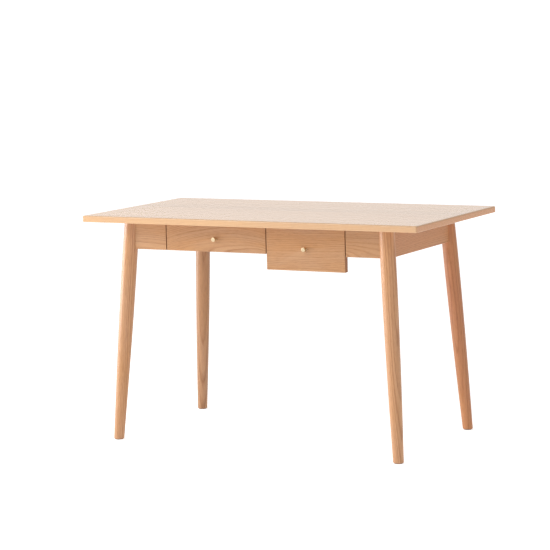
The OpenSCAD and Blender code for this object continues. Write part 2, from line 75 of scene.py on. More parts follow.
MM = 0.001
X_AXIS = Vector((1, 0, 0))
Y_AXIS = Vector((0, 1, 0))
Z_AXIS = Vector((0, 0, 1))
# Sockets of the colour mix node
MIX_A, MIX_B, MIX_OUT = 6, 7, 2
# Corners nearer than this are one corner
MERGE = 1e-6
# A place nearer than this to a side of a box lies on it
ON_BOX = 2e-5
# Triangles that turn less than this belong to one flat
FLAT_ANGLE = math.radians(0.6)
# Edges that turn more than this stay crisp
CRISP_ANGLE = math.radians(38)
# How far a piece's box may differ from the box of what it stands for
FIT = 0.8 * MM
# The least radius that an upright corner of the top keeps at its eased edges
LEAST_CORNER = 0.4 * MM
# Thickness of one ply
PLY = 1.0 * MM
# Gap between the lathe's marks on the brass, coarser than the real 0.1 mm so that they show
TOOL_MARK = 0.4 * MM
# Thickness of a washer and of a nut, and how much wider than its bolt a washer's hole is
WASHER_THICK = 1.6 * MM
NUT_THICK = 6.5 * MM
WASHER_PLAY = 0.4 * MM
# A washer's rim and a nut's width over its corners, for each unit of the bolt's diameter
WASHER_RIM = 2
NUT_WIDTH = 1.85
# Length of a bolt's thread, and the gap between the turns of each thread
BOLT_THREAD = 34 * MM
BOLT_PITCH = 1.25 * MM
SCREW_PITCH = 1.8 * MM
SMALL_SCREW_PITCH = 1.4 * MM
DRAWER_SCREW_PITCH = 1.6 * MM
# Middle of a thread's ridge and half its height, for each unit of the diameter
THREAD_AT = 0.42
THREAD_RIDGE = 0.08
# Radius of a bolt's rod, for each unit of its diameter
ROD = 0.43
# Parts of a wood screw, for each unit of its diameter: half the head's width, the depth,
# length and width of the cross recess, what the head and point take off the shank's length,
# the shank's radius at its root and neck, and the point's length and end
SCREW_PARTS = {"half": 0.5, "deep": 0.7, "across": 1.1, "slim": 0.25, "ends": 1.3,
               "root": 0.4, "neck": 0.38, "tip": 0.8, "sharp": 0.05}
# Where a wood screw's thread starts and how long it is, for each unit of its length
THREAD_START = 0.28
THREAD_LONG = 0.6
# Radius of a nut's cones at the waist and at its faces, for each unit of its width
NUT_WAIST = 0.53
NUT_FACE = 0.455
# Points along a turned leg and round it
LEG_RINGS = 72
LEG_AROUND = 96


# ---------- sizes and colours ----------

def to_linear(code):
    """An sRGB hex colour as the linear values that a shader takes."""
    parts = [int(code[i:i + 2], 16) / 255 for i in (0, 2, 4)]
    return tuple(c / 12.92 if c <= 0.04045 else ((c + 0.055) / 1.055) ** 2.4 for c in parts)


def size(name, description, mm, low, high):
    """A length that a user may change, given in millimetres."""
    return bpy.props.FloatProperty(name=name, description=description, default=mm * MM,
                                   min=low * MM, max=high * MM, precision=4, unit="LENGTH")


def colour(name, description, code):
    """A colour that a user may change, given as sRGB hex."""
    return bpy.props.FloatVectorProperty(name=name, description=description, size=3,
                                         default=to_linear(code), min=0, max=1, subtype="COLOR")


def amount(name, description, value, low, high):
    """A plain number that a user may change."""
    return bpy.props.FloatProperty(name=name, description=description, default=value,
                                   min=low, max=high)


class DeskTimber(bpy.types.PropertyGroup):
    """The woods of the desk."""

    top_late: colour("Top, late wood", "The dense part of a year ring in the top", "CFAA84")
    top_early: colour("Top, early wood", "The open-pored part of a year ring in the top",
                      "BE926A")
    top_amber: colour("Top, amber", "The warmer patches of the top", "D0A77C")
    top_end: colour("Top, end grain", "The ends of the top, where the oil soaks in", "CB8A54")
    oak_late: colour("Oak, late wood", "The dense part of each year ring", "C39B77")
    oak_early: colour("Oak, early wood", "The open-pored part of each year ring", "92623D")
    oak_pore: colour("Oak, pores", "The bottoms of the open pores", "80502F")
    oak_amber: colour("Oak, amber", "The warmer patches of a board", "BC854F")
    leg_late: colour("Leg, late wood", "The pale streaks along a leg", "D3A47E")
    leg_early: colour("Leg, early wood", "The brown streaks along a leg", "A06B45")
    # Darker, redder streaks for the rear right leg: their darkness is painted shade from the top
    rear_shade_late: colour("Russet leg, late wood", "Pale streaks of the reddest leg", "C6865C")
    rear_shade_early: colour("Russet leg, early wood", "Brown streaks of the reddest leg", "A5633B")
    ring_gap: size("Ring gap", "Distance between year rings in the oak", 4.8, 1, 12)
    arris: size("Arris", "Radius worked on the edges of rails and fronts", 1.0, 0.3, 3)
    poplar: colour("Poplar", "The inner rails, blocks and buttons", "DCC8A0")
    paulownia: colour("Paulownia", "The sides and backs of the drawer boxes", "D8BE98")
    birch: colour("Birch plywood", "The drawer bottoms", "E2C9A0")


class DeskTop(bpy.types.PropertyGroup):
    """The tabletop."""

    round: size("Upper edge", "Radius worked on the upper edge", 5, 2, 8)
    ease: size("Lower edge", "Radius worked on the lower edge", 2, 1, 4)
    corner: size("Corner", "Radius of the corners, seen from above", 4, 2, 20)
    stave: size("Stave", "Width of the boards that the top is glued up from", 93, 40, 200)


class DeskLegs(bpy.types.PropertyGroup):
    """The turned legs."""

    inset_x: size("Inset along X", "From the end of the top to a leg's axis, under the top",
                  139, 110, 170)
    inset_y: size("Inset along Y", "From the front or back of the top to a leg's axis",
                  86, 70, 110)
    splay_x: size("Splay along X", "How far a foot stands outside its head along X", 49, 0, 70)
    splay_y: size("Splay along Y", "How far a foot stands outside its head along Y", 45, 0, 60)
    foot: size("Foot", "Diameter at the foot", 34, 28, 44)
    belly: size("Belly", "Diameter at the fullest point", 50, 46, 62)
    head: size("Head", "Diameter at the head", 48, 42, 58)
    belly_up: size("Belly height", "Fullest point, along the leg", 590, 400, 600)
    foot_ease: size("Foot edge", "Radius worked round the foot", 2.2, 0.5, 4)


class DeskMetal(bpy.types.PropertyGroup):
    """Knobs, fasteners and felt."""

    brass: colour("Brass", "The turned knobs", "DDC8A4")
    zinc: colour("Zinc", "The plated screws, bolts, washers and nuts", "C9CCCF")
    felt: colour("Felt", "The pads under the feet and behind the fronts", "4A352A")
    knob_neck: size("Knob neck", "Diameter of the knob's neck", 8, 6, 9)
    knob_foot: size("Knob foot", "Diameter of the knob's foot", 10.5, 9.5, 14)
    screw: size("Wood screw", "Diameter of the wood screws", 4, 3, 5)
    small_screw: size("Small screw", "Diameter of the runner and drawer bottom screws",
                      3.2, 2.4, 4)
    bolt: size("Bolt", "Diameter of the bolts that hold the legs", 8, 6, 10)


class DeskStudio(bpy.types.PropertyGroup):
    """Light, floor and camera."""

    around: amount("Surroundings", "Brightness of the room at eye level", 0.36, 0, 5)
    zenith: amount("Zenith", "Brightness of the room overhead", 0.6, 0, 5)
    backdrop: amount("Backdrop", "Brightness added behind the desk", 0.95, 0, 5)
    floor: colour("Floor", "The pale floor", "EFEFEF")
    floor_glow: amount("Floor glow", "Light that the floor gives by itself", 0.56, 0, 2)
    key: bpy.props.FloatProperty(name="Key", description="Power of the large soft light in front",
                                 default=86, min=0, max=2000, unit="POWER")
    side: bpy.props.FloatProperty(name="Side", description="Power of the low light on the left",
                                  default=110, min=0, max=2000, unit="POWER")
    eye: bpy.props.FloatVectorProperty(name="Camera", description="Where the camera stands",
                                       size=3, default=(3.1963, -6.2304, 1.4421),
                                       subtype="TRANSLATION", unit="LENGTH")
    aim: bpy.props.FloatVectorProperty(
        name="Camera aim", description="Turn to the left, tilt down and roll of the camera",
        size=3, default=[math.radians(a) for a in (27.58, 7.363, -1.273)], subtype="EULER",
        unit="ROTATION")
    lens: bpy.props.FloatProperty(name="Lens", description="Focal length in millimetres",
                                  default=139.49, min=10, max=500, unit="CAMERA")


def timber():
    return bpy.context.scene.desk_timber


def metal():
    return bpy.context.scene.desk_metal


# ---------- mesh work ----------

def copy_of(node):
    """A merged copy of a CAD node's mesh, with the triangles of each flat joined."""
    source = frame["nodes"][node].data
    solid = bmesh.new()
    spots = [solid.verts.new(v.co) for v in source.vertices]
    for face in source.polygons:
        solid.faces.new([spots[i] for i in face.vertices])
    bmesh.ops.remove_doubles(solid, verts=solid.verts, dist=MERGE)
    bmesh.ops.dissolve_limit(solid, angle_limit=FLAT_ANGLE, verts=solid.verts, edges=solid.edges)
    return solid


def islands(solid):
    """The separate solids in a mesh, each as a list of its vertices."""
    left = set(solid.verts)
    found = []
    while left:
        group = [left.pop()]
        for vert in group:
            for edge in vert.link_edges:
                other = edge.other_vert(vert)
                if other in left:
                    left.discard(other)
                    group.append(other)
        found.append(group)
    return sorted(found, key=lambda g: tuple(round(c, 5) for c in centre_of(g)))


def box_of(group):
    spots = np.array([v.co for v in group])
    return spots.min(0), spots.max(0)


def centre_of(group):
    lo, hi = box_of(group)
    return Vector((lo + hi) / 2)


def sides_met(edge, lo, hi):
    """How many sides of a box an edge lies on."""
    ends = [v.co for v in edge.verts]
    return sum(all(abs(end[k] - side[k]) < ON_BOX for end in ends)
               for k in range(3) for side in (lo, hi))


def ease(solid, radius, segments=3, upright=False):
    """Rounds the outer edges of each board in a mesh over, or only its upright edges."""
    for group in islands(solid):
        lo, hi = box_of(group)
        edges = {e for v in group for e in v.link_edges}
        if upright:
            tall = hi[2] - lo[2] - ON_BOX
            chosen = [e for e in edges if abs(e.verts[0].co.z - e.verts[1].co.z) > tall]
        else:
            chosen = [e for e in edges if sides_met(e, lo, hi) >= 2]
        if chosen:
            bmesh.ops.bevel(solid, geom=sorted(chosen, key=lambda e: e.index), offset=radius,
                            segments=segments, profile=0.5, affect="EDGES", clamp_overlap=True)
    return solid


def turned(profile, origin, aim, around=72):
    """A solid turned on a lathe: profile gives (radius, height) from end to end along aim."""
    solid = bmesh.new()
    rings = []
    for radius, height in profile:
        if radius < MERGE:
            rings.append([solid.verts.new((0, 0, height))])
            continue
        turns = [math.tau * i / around for i in range(around)]
        rings.append([solid.verts.new((radius * math.cos(t), radius * math.sin(t), height))
                      for t in turns])
    for low, high in zip(rings, rings[1:]):
        for i in range(around):
            j = (i + 1) % around
            corners = [low[i % len(low)], low[j % len(low)], high[j % len(high)],
                       high[i % len(high)]]
            solid.faces.new(list(dict.fromkeys(corners)))
    bmesh.ops.recalc_face_normals(solid, faces=solid.faces)
    place = Matrix.Translation(origin) @ Z_AXIS.rotation_difference(aim).to_matrix().to_4x4()
    bmesh.ops.transform(solid, matrix=place, verts=solid.verts)
    return solid


def rounded_path(points, radius, steps=5):
    """An open profile with each of its inner corners rounded to a radius."""
    made = [points[0]]
    for before, here, after in zip(points, points[1:], points[2:]):
        here = Vector(here)
        ways = [Vector(p) - here for p in (before, after)]
        reach = min(radius, *(0.45 * w.length for w in ways))
        start, end = (here + w.normalized() * reach for w in ways)
        for i in range(steps + 1):
            t = i / steps
            made.append(tuple(start * (1 - t) ** 2 + here * (2 * t * (1 - t)) + end * t * t))
    return made + [points[-1]]


def joined(meshes):
    """Several plain meshes as one bmesh."""
    solid = bmesh.new()
    for mesh in meshes:
        solid.from_mesh(mesh)
    return solid


def mark_edges(mesh):
    """Stores how much of an arris each point is: 0 on a flat, 1 on the middle of an edge."""
    normals = np.array([v.normal for v in mesh.vertices])
    off = 1 - np.abs(normals).max(1)
    arris_share = np.clip(off / (1 - math.sqrt(0.5)), 0, 1)
    attribute = mesh.attributes.new("edge", "FLOAT", "POINT")
    attribute.data.foreach_set("value", arris_share.astype(np.float32))


def piece(name, solid, body, nodes, finishes, pale_edges=True, smooth=CRISP_ANGLE):
    """Makes the finished object of a mesh and ties it to the frame."""
    mesh = bpy.data.meshes.new(name)
    solid.to_mesh(mesh)
    solid.free()
    mesh.shade_smooth()
    mesh.set_sharp_from_angle(angle=smooth)
    if pale_edges:
        mark_edges(mesh)
    thing = bpy.data.objects.new(name, mesh)
    bpy.context.scene.collection.objects.link(thing)
    # Flats keep one normal each beside their rounded edges
    even = thing.modifiers.new("Even flats", "WEIGHTED_NORMAL")
    even.keep_sharp = True
    graph = bpy.context.evaluated_depsgraph_get()
    plain = bpy.data.meshes.new_from_object(thing.evaluated_get(graph))
    thing.modifiers.clear()
    thing.data = plain
    plain.name = name
    plain.materials.clear()
    for finish in finishes:
        plain.materials.append(finish)
    check_fit(name, plain, nodes)
    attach(thing, body)
    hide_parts(*nodes)
    return thing


def check_fit(name, mesh, nodes):
    """Stops the script if a piece isn't where the CAD says."""
    boxes = [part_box(n) for n in nodes]
    spots = np.array([v.co for v in mesh.vertices])
    for k in range(3):
        want = min(lo[k] for lo, hi in boxes), max(hi[k] for lo, hi in boxes)
        got = spots[:, k].min(), spots[:, k].max()
        if max(abs(want[0] - got[0]), abs(want[1] - got[1])) > FIT:
            raise RuntimeError(f"{name} spans {got} along axis {k} where the frame has {want}")


def body_of(node):
    return frame["nodes"][node]["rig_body"]


def soft_copy(name, node, finish, radius, segments=3, upright=False):
    """A piece with the CAD node's own shape and its outer edges rounded over."""
    solid = ease(copy_of(node), radius, segments, upright)
    return piece(name, solid, body_of(node), [node], [finish])


# ---------- nodes and materials ----------

def add(tree, kind, inputs=None, stops=(), **settings):
    """Adds a node with its settings, fills or links its inputs, and sets a ramp's greys."""
    made = tree.nodes.new(kind)
    for key, value in settings.items():
        setattr(made, key, value)
    for index, (place, grey) in enumerate(stops):
        band = made.color_ramp.elements
        element = band[index] if index < 2 else band.new(place)
        element.position = place
        element.color = (grey, grey, grey, 1)
    for key, value in (inputs or {}).items():
        if isinstance(value, bpy.types.NodeSocket):
            tree.links.new(value, made.inputs[key])
        elif isinstance(value, bpy.types.Node):
            tree.links.new(value.outputs[0], made.inputs[key])
        else:
            made.inputs[key].default_value = value
    return made


def opaque(colour_value):
    return (*colour_value[:3], 1.0)


def shaded(colour_value, factor):
    """The colour made lighter or darker, by one factor or by one for each channel."""
    each = factor if isinstance(factor, tuple) else (factor, factor, factor)
    return tuple(min(1.0, c * f) for c, f in zip(colour_value, each)) + (1.0,)


def blank(name):
    """A new material with only its output and shader."""
    material = bpy.data.materials.new(name)
    material.use_nodes = True
    tree = material.node_tree
    tree.nodes.clear()
    shader = add(tree, "ShaderNodeBsdfPrincipled")
    add(tree, "ShaderNodeOutputMaterial", {"Surface": shader.outputs["BSDF"]})
    return material, tree, shader


def oak_recipe():
    """Oak under a hard matt oil. Rings alternate dense tan wood and bands of open pores."""
    look = timber()
    return {"late": look.oak_late, "early": look.oak_early, "pore": look.oak_pore,
            "amber": look.oak_amber, "gap": look.ring_gap, "pores": 0.62, "rough": 0.5,
            "relief": 0.35, "index": 1.4, "wander": 26 * MM, "end": look.oak_early}


def top_recipe():
    """The top's oak is paler, and rubbed with more coats until it takes a low sheen."""
    look = timber()
    return {"late": look.top_late, "early": look.top_early, "pore": look.oak_pore,
            "amber": look.top_amber, "gap": look.ring_gap, "pores": 0.4, "rough": 0.27,
            "relief": 0.04, "index": 1.5, "wander": 9 * MM, "end": look.top_end}


def leg_recipe(darker_rear_colours):
    """Turned oak under the same oil. The blanks are redder, and the rear right one takes darker,
    redder colours as painted shade.
    """
    look = timber()
    return {"late": look.rear_shade_late if darker_rear_colours else look.leg_late,
            "early": look.rear_shade_early if darker_rear_colours else look.leg_early, "pore": look.oak_pore,
            "amber": look.oak_amber, "gap": look.ring_gap, "pores": 0.6, "rough": 0.37,
            "relief": 0.3, "index": 1.5, "wander": 20 * MM, "end": look.oak_early}


def pale_recipe(base, ring_gap, pores, rough):
    """A quiet secondary wood, planed and left bare, with hardly any figure."""
    return {"late": base, "early": shaded(base, 0.86), "pore": shaded(base, 0.6),
            "amber": shaded(base, 0.93), "gap": ring_gap, "pores": pores, "rough": rough,
            "relief": 0.35, "index": 1.4, "wander": 20 * MM, "end": shaded(base, 0.88)}


# Patterns of the grain: how often each turns in a metre, along the grain and across it
WANDER_TURNS = (2.2, 11.0, 11.0)
WARMTH_TURNS = (3.0, 16.0, 16.0)
PORE_TURNS = (46.0, 950.0, 950.0)
FLECK_TURNS = (24.0, 430.0, 430.0)
# Taken off a noise that runs from 0 to 1, so that it swings both ways
HALF_WAY = (0.5, 0.5, 0.5)
# How far apart in the timber stack two staves may come from, along the grain and in depth
STAVE_APART = 3.0
STAVE_DEEP = 0.05
# How strongly end grain shows, and how strongly the rounded edges are painted paler
END_SHARE = 0.85
PALE_EDGE_SHARE = 0.3


def laid_along(tree, axis, centre, lean):
    """Places in a board, measured from its middle with the grain turned along X."""
    lay = Euler(lean).to_matrix() @ axis.rotation_difference(X_AXIS).to_matrix()
    where = add(tree, "ShaderNodeTexCoord").outputs["Object"]
    return add(tree, "ShaderNodeMapping", {
        "Vector": where, "Location": -(lay @ Vector(centre)), "Rotation": lay.to_euler()})


def glued_up(tree, spot, stave, luck):
    """Moves each stave to its own place in its own tree, and draws a number for it."""
    parts = add(tree, "ShaderNodeSeparateXYZ", {"Vector": spot})
    count = add(tree, "ShaderNodeMath", {0: parts.outputs["Y"], 1: stave}, operation="DIVIDE")
    whole = add(tree, "ShaderNodeMath", {0: count}, operation="FLOOR")
    within = add(tree, "ShaderNodeMath", {0: count}, operation="FRACT")
    across = add(tree, "ShaderNodeMath", {0: within, 1: stave, 2: -stave / 2},
                 operation="MULTIPLY_ADD")
    marked = add(tree, "ShaderNodeMath", {0: whole, 1: luck + 0.5}, operation="ADD")
    draw = add(tree, "ShaderNodeTexWhiteNoise", {"W": marked}, noise_dimensions="1D")
    regroup = add(tree, "ShaderNodeCombineXYZ", {
        "X": parts.outputs["X"], "Y": across, "Z": parts.outputs["Z"]})
    chance = add(tree, "ShaderNodeVectorMath", {0: draw.outputs["Color"], 1: HALF_WAY},
                 operation="SUBTRACT")
    moved = add(tree, "ShaderNodeVectorMath", {
        0: chance, 1: (STAVE_APART, stave * 1.1, STAVE_DEEP), 2: regroup},
        operation="MULTIPLY_ADD")
    return moved, draw.outputs["Value"]


def arched(tree, spot, bow):
    """Bends the grain into an arch along the board."""
    parts = add(tree, "ShaderNodeSeparateXYZ", {"Vector": spot})
    squared = add(tree, "ShaderNodeMath", {0: parts.outputs["X"], 1: 2.0}, operation="POWER")
    rise = add(tree, "ShaderNodeCombineXYZ", {"Z": squared})
    return add(tree, "ShaderNodeVectorMath", {0: rise, 1: (0.0, 0.0, bow), 2: spot},
               operation="MULTIPLY_ADD")


def from_pith(tree, spot, wander):
    """Distance from the pith of a trunk that wanders slowly sideways along its length."""
    slow = add(tree, "ShaderNodeVectorMath", {0: spot, 1: WANDER_TURNS}, operation="MULTIPLY")
    drift = add(tree, "ShaderNodeTexNoise", {"Vector": slow, "Scale": 1.0, "Detail": 2.0,
                                             "Roughness": 0.45})
    off = add(tree, "ShaderNodeVectorMath", {0: drift.outputs["Color"], 1: HALF_WAY},
              operation="SUBTRACT")
    bent = add(tree, "ShaderNodeVectorMath", {0: off, 1: (0.0, wander, wander), 2: spot},
               operation="MULTIPLY_ADD")
    flat = add(tree, "ShaderNodeVectorMath", {0: bent, 1: (0.0, 1.0, 1.0)},
               operation="MULTIPLY")
    return add(tree, "ShaderNodeVectorMath", {0: flat}, operation="LENGTH").outputs["Value"]


def year_rings(tree, reach, gap):
    """Runs from the open early wood of each ring, near 0, to its dense late wood, near 1."""
    # Good and poor years: the gap between rings varies, and so does their depth
    years = add(tree, "ShaderNodeMath", {0: reach, 1: 1 / gap}, operation="MULTIPLY")
    mood = add(tree, "ShaderNodeTexNoise", {"W": years, "Scale": 0.31, "Detail": 1.0},
               noise_dimensions="1D")
    ring = add(tree, "ShaderNodeMath", {0: mood.outputs[0], 1: 2.2, 2: years},
               operation="MULTIPLY_ADD")
    phase = add(tree, "ShaderNodeMath", {0: ring}, operation="FRACT")
    number = add(tree, "ShaderNodeMath", {0: ring}, operation="FLOOR")
    year = add(tree, "ShaderNodeTexWhiteNoise", {"W": number}, noise_dimensions="1D")
    band = add(tree, "ShaderNodeValToRGB", {"Fac": phase},
               stops=[(0.0, 0.1), (1.0, 0.1), (0.12, 0.24), (0.34, 0.86), (0.8, 0.78)])
    depth = add(tree, "ShaderNodeMath", {0: year.outputs["Value"], 1: 0.7, 2: 0.3},
                operation="MULTIPLY_ADD")
    return add(tree, "ShaderNodeMix", {0: depth, 2: 0.62, 3: band},
               data_type="FLOAT").outputs[0]


def open_pores(tree, spot, late):
    """How open the pores of a place are: they crowd in the early wood."""
    # Real pores are 0.3 mm wide, drawn here at about 1 mm by 20 mm so that they show
    fine = add(tree, "ShaderNodeVectorMath", {0: spot, 1: PORE_TURNS}, operation="MULTIPLY")
    grit = add(tree, "ShaderNodeTexNoise", {"Vector": fine, "Scale": 1.0, "Detail": 1.0,
                                            "Roughness": 0.6})
    dash = add(tree, "ShaderNodeValToRGB", {"Fac": grit.outputs[0]},
               stops=[(0.36, 1.0), (0.47, 0.0)])
    # Longer dark flecks, 2 mm by 40 mm, where pores run together
    broad = add(tree, "ShaderNodeVectorMath", {0: spot, 1: FLECK_TURNS}, operation="MULTIPLY")
    fleck = add(tree, "ShaderNodeTexNoise", {"Vector": broad, "Scale": 1.0, "Detail": 2.0,
                                             "Roughness": 0.55})
    streak = add(tree, "ShaderNodeValToRGB", {"Fac": fleck.outputs[0]},
                 stops=[(0.3, 0.7), (0.46, 0.0)])
    open_wood = add(tree, "ShaderNodeMath", {0: late, 1: -0.8, 2: 1.0},
                    operation="MULTIPLY_ADD")
    both = add(tree, "ShaderNodeMath", {0: dash, 1: streak}, operation="MAXIMUM")
    return add(tree, "ShaderNodeMath", {0: both, 1: open_wood}, operation="MULTIPLY")


def slow_warmth(tree, spot):
    """Slow changes of warmth along the board."""
    wide = add(tree, "ShaderNodeVectorMath", {0: spot, 1: WARMTH_TURNS}, operation="MULTIPLY")
    warmth = add(tree, "ShaderNodeTexNoise", {"Vector": wide, "Scale": 1.0, "Detail": 3.0})
    return add(tree, "ShaderNodeValToRGB", {"Fac": warmth.outputs[0]},
               stops=[(0.35, 0.0), (0.68, 0.6)])


def end_grain(tree, axis):
    """How much of a face is end grain."""
    facing = add(tree, "ShaderNodeNewGeometry").outputs["Normal"]
    across = add(tree, "ShaderNodeVectorMath", {0: facing, 1: axis}, operation="DOT_PRODUCT")
    square = add(tree, "ShaderNodeMath", {0: across.outputs["Value"]}, operation="ABSOLUTE")
    sharp = add(tree, "ShaderNodeMath", {0: square, 1: 4.0}, operation="POWER")
    return add(tree, "ShaderNodeMath", {0: sharp, 1: END_SHARE}, operation="MULTIPLY")


def wood(name, recipe, along, centre, pith, lean=(0, 0, 0), bow=0.0, stave=0.0, tone=1.0,
         luck=0.0):
    """Sawn timber as a solid field of year rings round a pith.

    along is the grain's direction, centre the board's middle, and pith how far the middle
    lies from the pith once the grain is turned along X. lean tilts the grain in the board,
    bow arches it, and stave is the width of glued boards. tone lightens or darkens the
    board, and luck picks its place along the tree.
    """
    material, tree, shader = blank(name)
    axis = Vector(along).normalized()
    spot = laid_along(tree, axis, centre, lean)
    if stave:
        spot, stave_draw = glued_up(tree, spot, stave, luck)
    if bow:
        spot = arched(tree, spot, bow)
    spot = add(tree, "ShaderNodeVectorMath", {
        0: spot, 1: Vector(pith) + Vector((luck, 0, 0))}, operation="ADD")
    late = year_rings(tree, from_pith(tree, spot, recipe["wander"]), recipe["gap"])
    pore = open_pores(tree, spot, late)
    pore_mix = add(tree, "ShaderNodeMath", {0: pore, 1: recipe["pores"]},
                   operation="MULTIPLY")

    # Colour: rings, then changes of warmth, then pores, each laid over what is there
    layers = [(late, shaded(recipe["late"], tone), "MIX"),
              (slow_warmth(tree, spot), shaded(recipe["amber"], tone), "MIX"),
              (pore_mix, shaded(recipe["pore"], tone), "MIX")]
    if stave:
        # Neighbouring staves differ by up to 12 per cent
        lift = add(tree, "ShaderNodeMath", {0: stave_draw, 1: 0.12, 2: 0.94},
                   operation="MULTIPLY_ADD")
        layers.append((1.0, lift, "MULTIPLY"))
    # End grain drinks the oil and darkens, and the rounded edges are painted paler
    arris_share = add(tree, "ShaderNodeAttribute", attribute_name="edge").outputs["Fac"]
    paler_edges = add(tree, "ShaderNodeMath", {0: arris_share, 1: PALE_EDGE_SHARE}, operation="MULTIPLY")
    layers.append((end_grain(tree, axis), shaded(recipe["end"], tone), "MIX"))
    layers.append((paler_edges, shaded(recipe["late"], tone), "MIX"))
    shade = shaded(recipe["early"], tone)
    for share, tint, blend in layers:
        shade = add(tree, "ShaderNodeMix", {0: share, MIX_A: shade, MIX_B: tint},
                    data_type="RGBA", blend_type=blend).outputs[MIX_OUT]
    tree.links.new(shade, shader.inputs["Base Color"])

    # Pores are duller than the wood between them, and the rounded edges are glossier
    rough = add(tree, "ShaderNodeMath", {0: pore_mix, 1: 0.2, 2: recipe["rough"]},
                operation="MULTIPLY_ADD")
    rough = add(tree, "ShaderNodeMath", {0: arris_share, 1: -0.08, 2: rough},
                operation="MULTIPLY_ADD")
    tree.links.new(rough.outputs[0], shader.inputs["Roughness"])
    shader.inputs["IOR"].default_value = recipe["index"]
    relief = add(tree, "ShaderNodeMath", {0: pore, 1: -1.0, 2: late},
                 operation="MULTIPLY_ADD")
    bump = add(tree, "ShaderNodeBump", {"Height": relief, "Strength": recipe["relief"],
                                        "Distance": 0.12 * MM})
    tree.links.new(bump.outputs["Normal"], shader.inputs["Normal"])
    return material


def birch_plywood(name, low):
    """Birch plywood, sanded: pale waxy faces, and plies that show as stripes at the edges."""
    base = timber().birch
    material, tree, shader = blank(name)
    where = add(tree, "ShaderNodeTexCoord").outputs["Object"]
    parts = add(tree, "ShaderNodeSeparateXYZ", {"Vector": where})
    # Five plies, laid crosswise, so that every second one shows its end grain
    pairs = 1 / (2 * PLY)
    height = add(tree, "ShaderNodeMath", {0: parts.outputs["Z"], 1: pairs, 2: -pairs * low},
                 operation="MULTIPLY_ADD")
    layer = add(tree, "ShaderNodeMath", {0: height}, operation="FRACT")
    dark = add(tree, "ShaderNodeValToRGB", {"Fac": layer},
               stops=[(0.44, 0.0), (1.0, 0.0), (0.52, 1.0), (0.94, 1.0)])
    facing = add(tree, "ShaderNodeNewGeometry").outputs["Normal"]
    up = add(tree, "ShaderNodeSeparateXYZ", {"Vector": facing})
    level = add(tree, "ShaderNodeMath", {0: up.outputs["Z"]}, operation="ABSOLUTE")
    rim = add(tree, "ShaderNodeMath", {0: level, 1: 0.5}, operation="LESS_THAN")
    stripe = add(tree, "ShaderNodeMath", {0: dark, 1: rim}, operation="MULTIPLY")
    # Rotary-cut face: broad wavy figure about 15 mm apart
    sway = add(tree, "ShaderNodeVectorMath", {0: where, 1: (7.0, 60.0, 60.0)},
               operation="MULTIPLY")
    figure = add(tree, "ShaderNodeTexNoise", {"Vector": sway, "Scale": 1.0, "Detail": 4.0,
                                              "Distortion": 0.8})
    soft = add(tree, "ShaderNodeValToRGB", {"Fac": figure.outputs[0]},
               stops=[(0.3, 0.0), (0.7, 1.0)])
    face = add(tree, "ShaderNodeMix", {0: soft, MIX_A: opaque(base),
                                       MIX_B: shaded(base, 0.84)}, data_type="RGBA")
    edge = add(tree, "ShaderNodeMix", {0: stripe, MIX_A: face.outputs[MIX_OUT],
                                       MIX_B: shaded(base, 0.45)}, data_type="RGBA")
    tree.links.new(edge.outputs[MIX_OUT], shader.inputs["Base Color"])
    rough = add(tree, "ShaderNodeMath", {0: soft, 1: 0.1, 2: 0.5},
                operation="MULTIPLY_ADD")
    tree.links.new(rough.outputs[0], shader.inputs["Roughness"])
    bump = add(tree, "ShaderNodeBump", {"Height": figure.outputs[0], "Strength": 0.2,
                                        "Distance": 0.1 * MM})
    tree.links.new(bump.outputs["Normal"], shader.inputs["Normal"])
    return material


def turned_brass(name, centre):
    """Pale brass, turned and lacquered: warm, with a soft gloss ringed by the lathe tool."""
    material, tree, shader = blank(name)
    where = add(tree, "ShaderNodeTexCoord").outputs["Object"]
    spot = add(tree, "ShaderNodeMapping", {"Vector": where, "Location": -Vector(centre)})
    flat = add(tree, "ShaderNodeVectorMath", {0: spot, 1: (1.0, 0.0, 1.0)},
               operation="MULTIPLY")
    radius = add(tree, "ShaderNodeVectorMath", {0: flat}, operation="LENGTH")
    marks = add(tree, "ShaderNodeMath", {0: radius.outputs["Value"],
                                         1: math.tau / TOOL_MARK}, operation="MULTIPLY")
    wave = add(tree, "ShaderNodeMath", {0: marks}, operation="SINE")
    haze = add(tree, "ShaderNodeTexNoise", {"Vector": spot, "Scale": 420.0, "Detail": 3.0})
    tint = add(tree, "ShaderNodeMix", {
        0: haze.outputs[0], MIX_A: shaded(metal().brass, 0.9),
        MIX_B: opaque(metal().brass)}, data_type="RGBA")
    tree.links.new(tint.outputs[MIX_OUT], shader.inputs["Base Color"])
    shader.inputs["Metallic"].default_value = 1.0
    rough = add(tree, "ShaderNodeMath", {0: haze.outputs[0], 1: 0.12, 2: 0.28},
                operation="MULTIPLY_ADD")
    tree.links.new(rough.outputs[0], shader.inputs["Roughness"])
    bump = add(tree, "ShaderNodeBump", {"Height": wave, "Strength": 0.12,
                                        "Distance": 0.02 * MM})
    tree.links.new(bump.outputs["Normal"], shader.inputs["Normal"])
    return material


def zinc_plated_steel(name):
    """Steel, barrel-plated with bright zinc: a cool grey with cloudy, slightly dull patches."""
    material, tree, shader = blank(name)
    where = add(tree, "ShaderNodeTexCoord").outputs["Object"]
    # Clouds about 1.5 mm across
    cloud = add(tree, "ShaderNodeTexNoise", {"Vector": where, "Scale": 650.0, "Detail": 3.0})
    tint = add(tree, "ShaderNodeMix", {
        0: cloud.outputs[0], MIX_A: shaded(metal().zinc, 0.78),
        MIX_B: opaque(metal().zinc)}, data_type="RGBA")
    tree.links.new(tint.outputs[MIX_OUT], shader.inputs["Base Color"])
    shader.inputs["Metallic"].default_value = 1.0
    rough = add(tree, "ShaderNodeMath", {0: cloud.outputs[0], 1: 0.25, 2: 0.24},
                operation="MULTIPLY_ADD")
    tree.links.new(rough.outputs[0], shader.inputs["Roughness"])
    return material


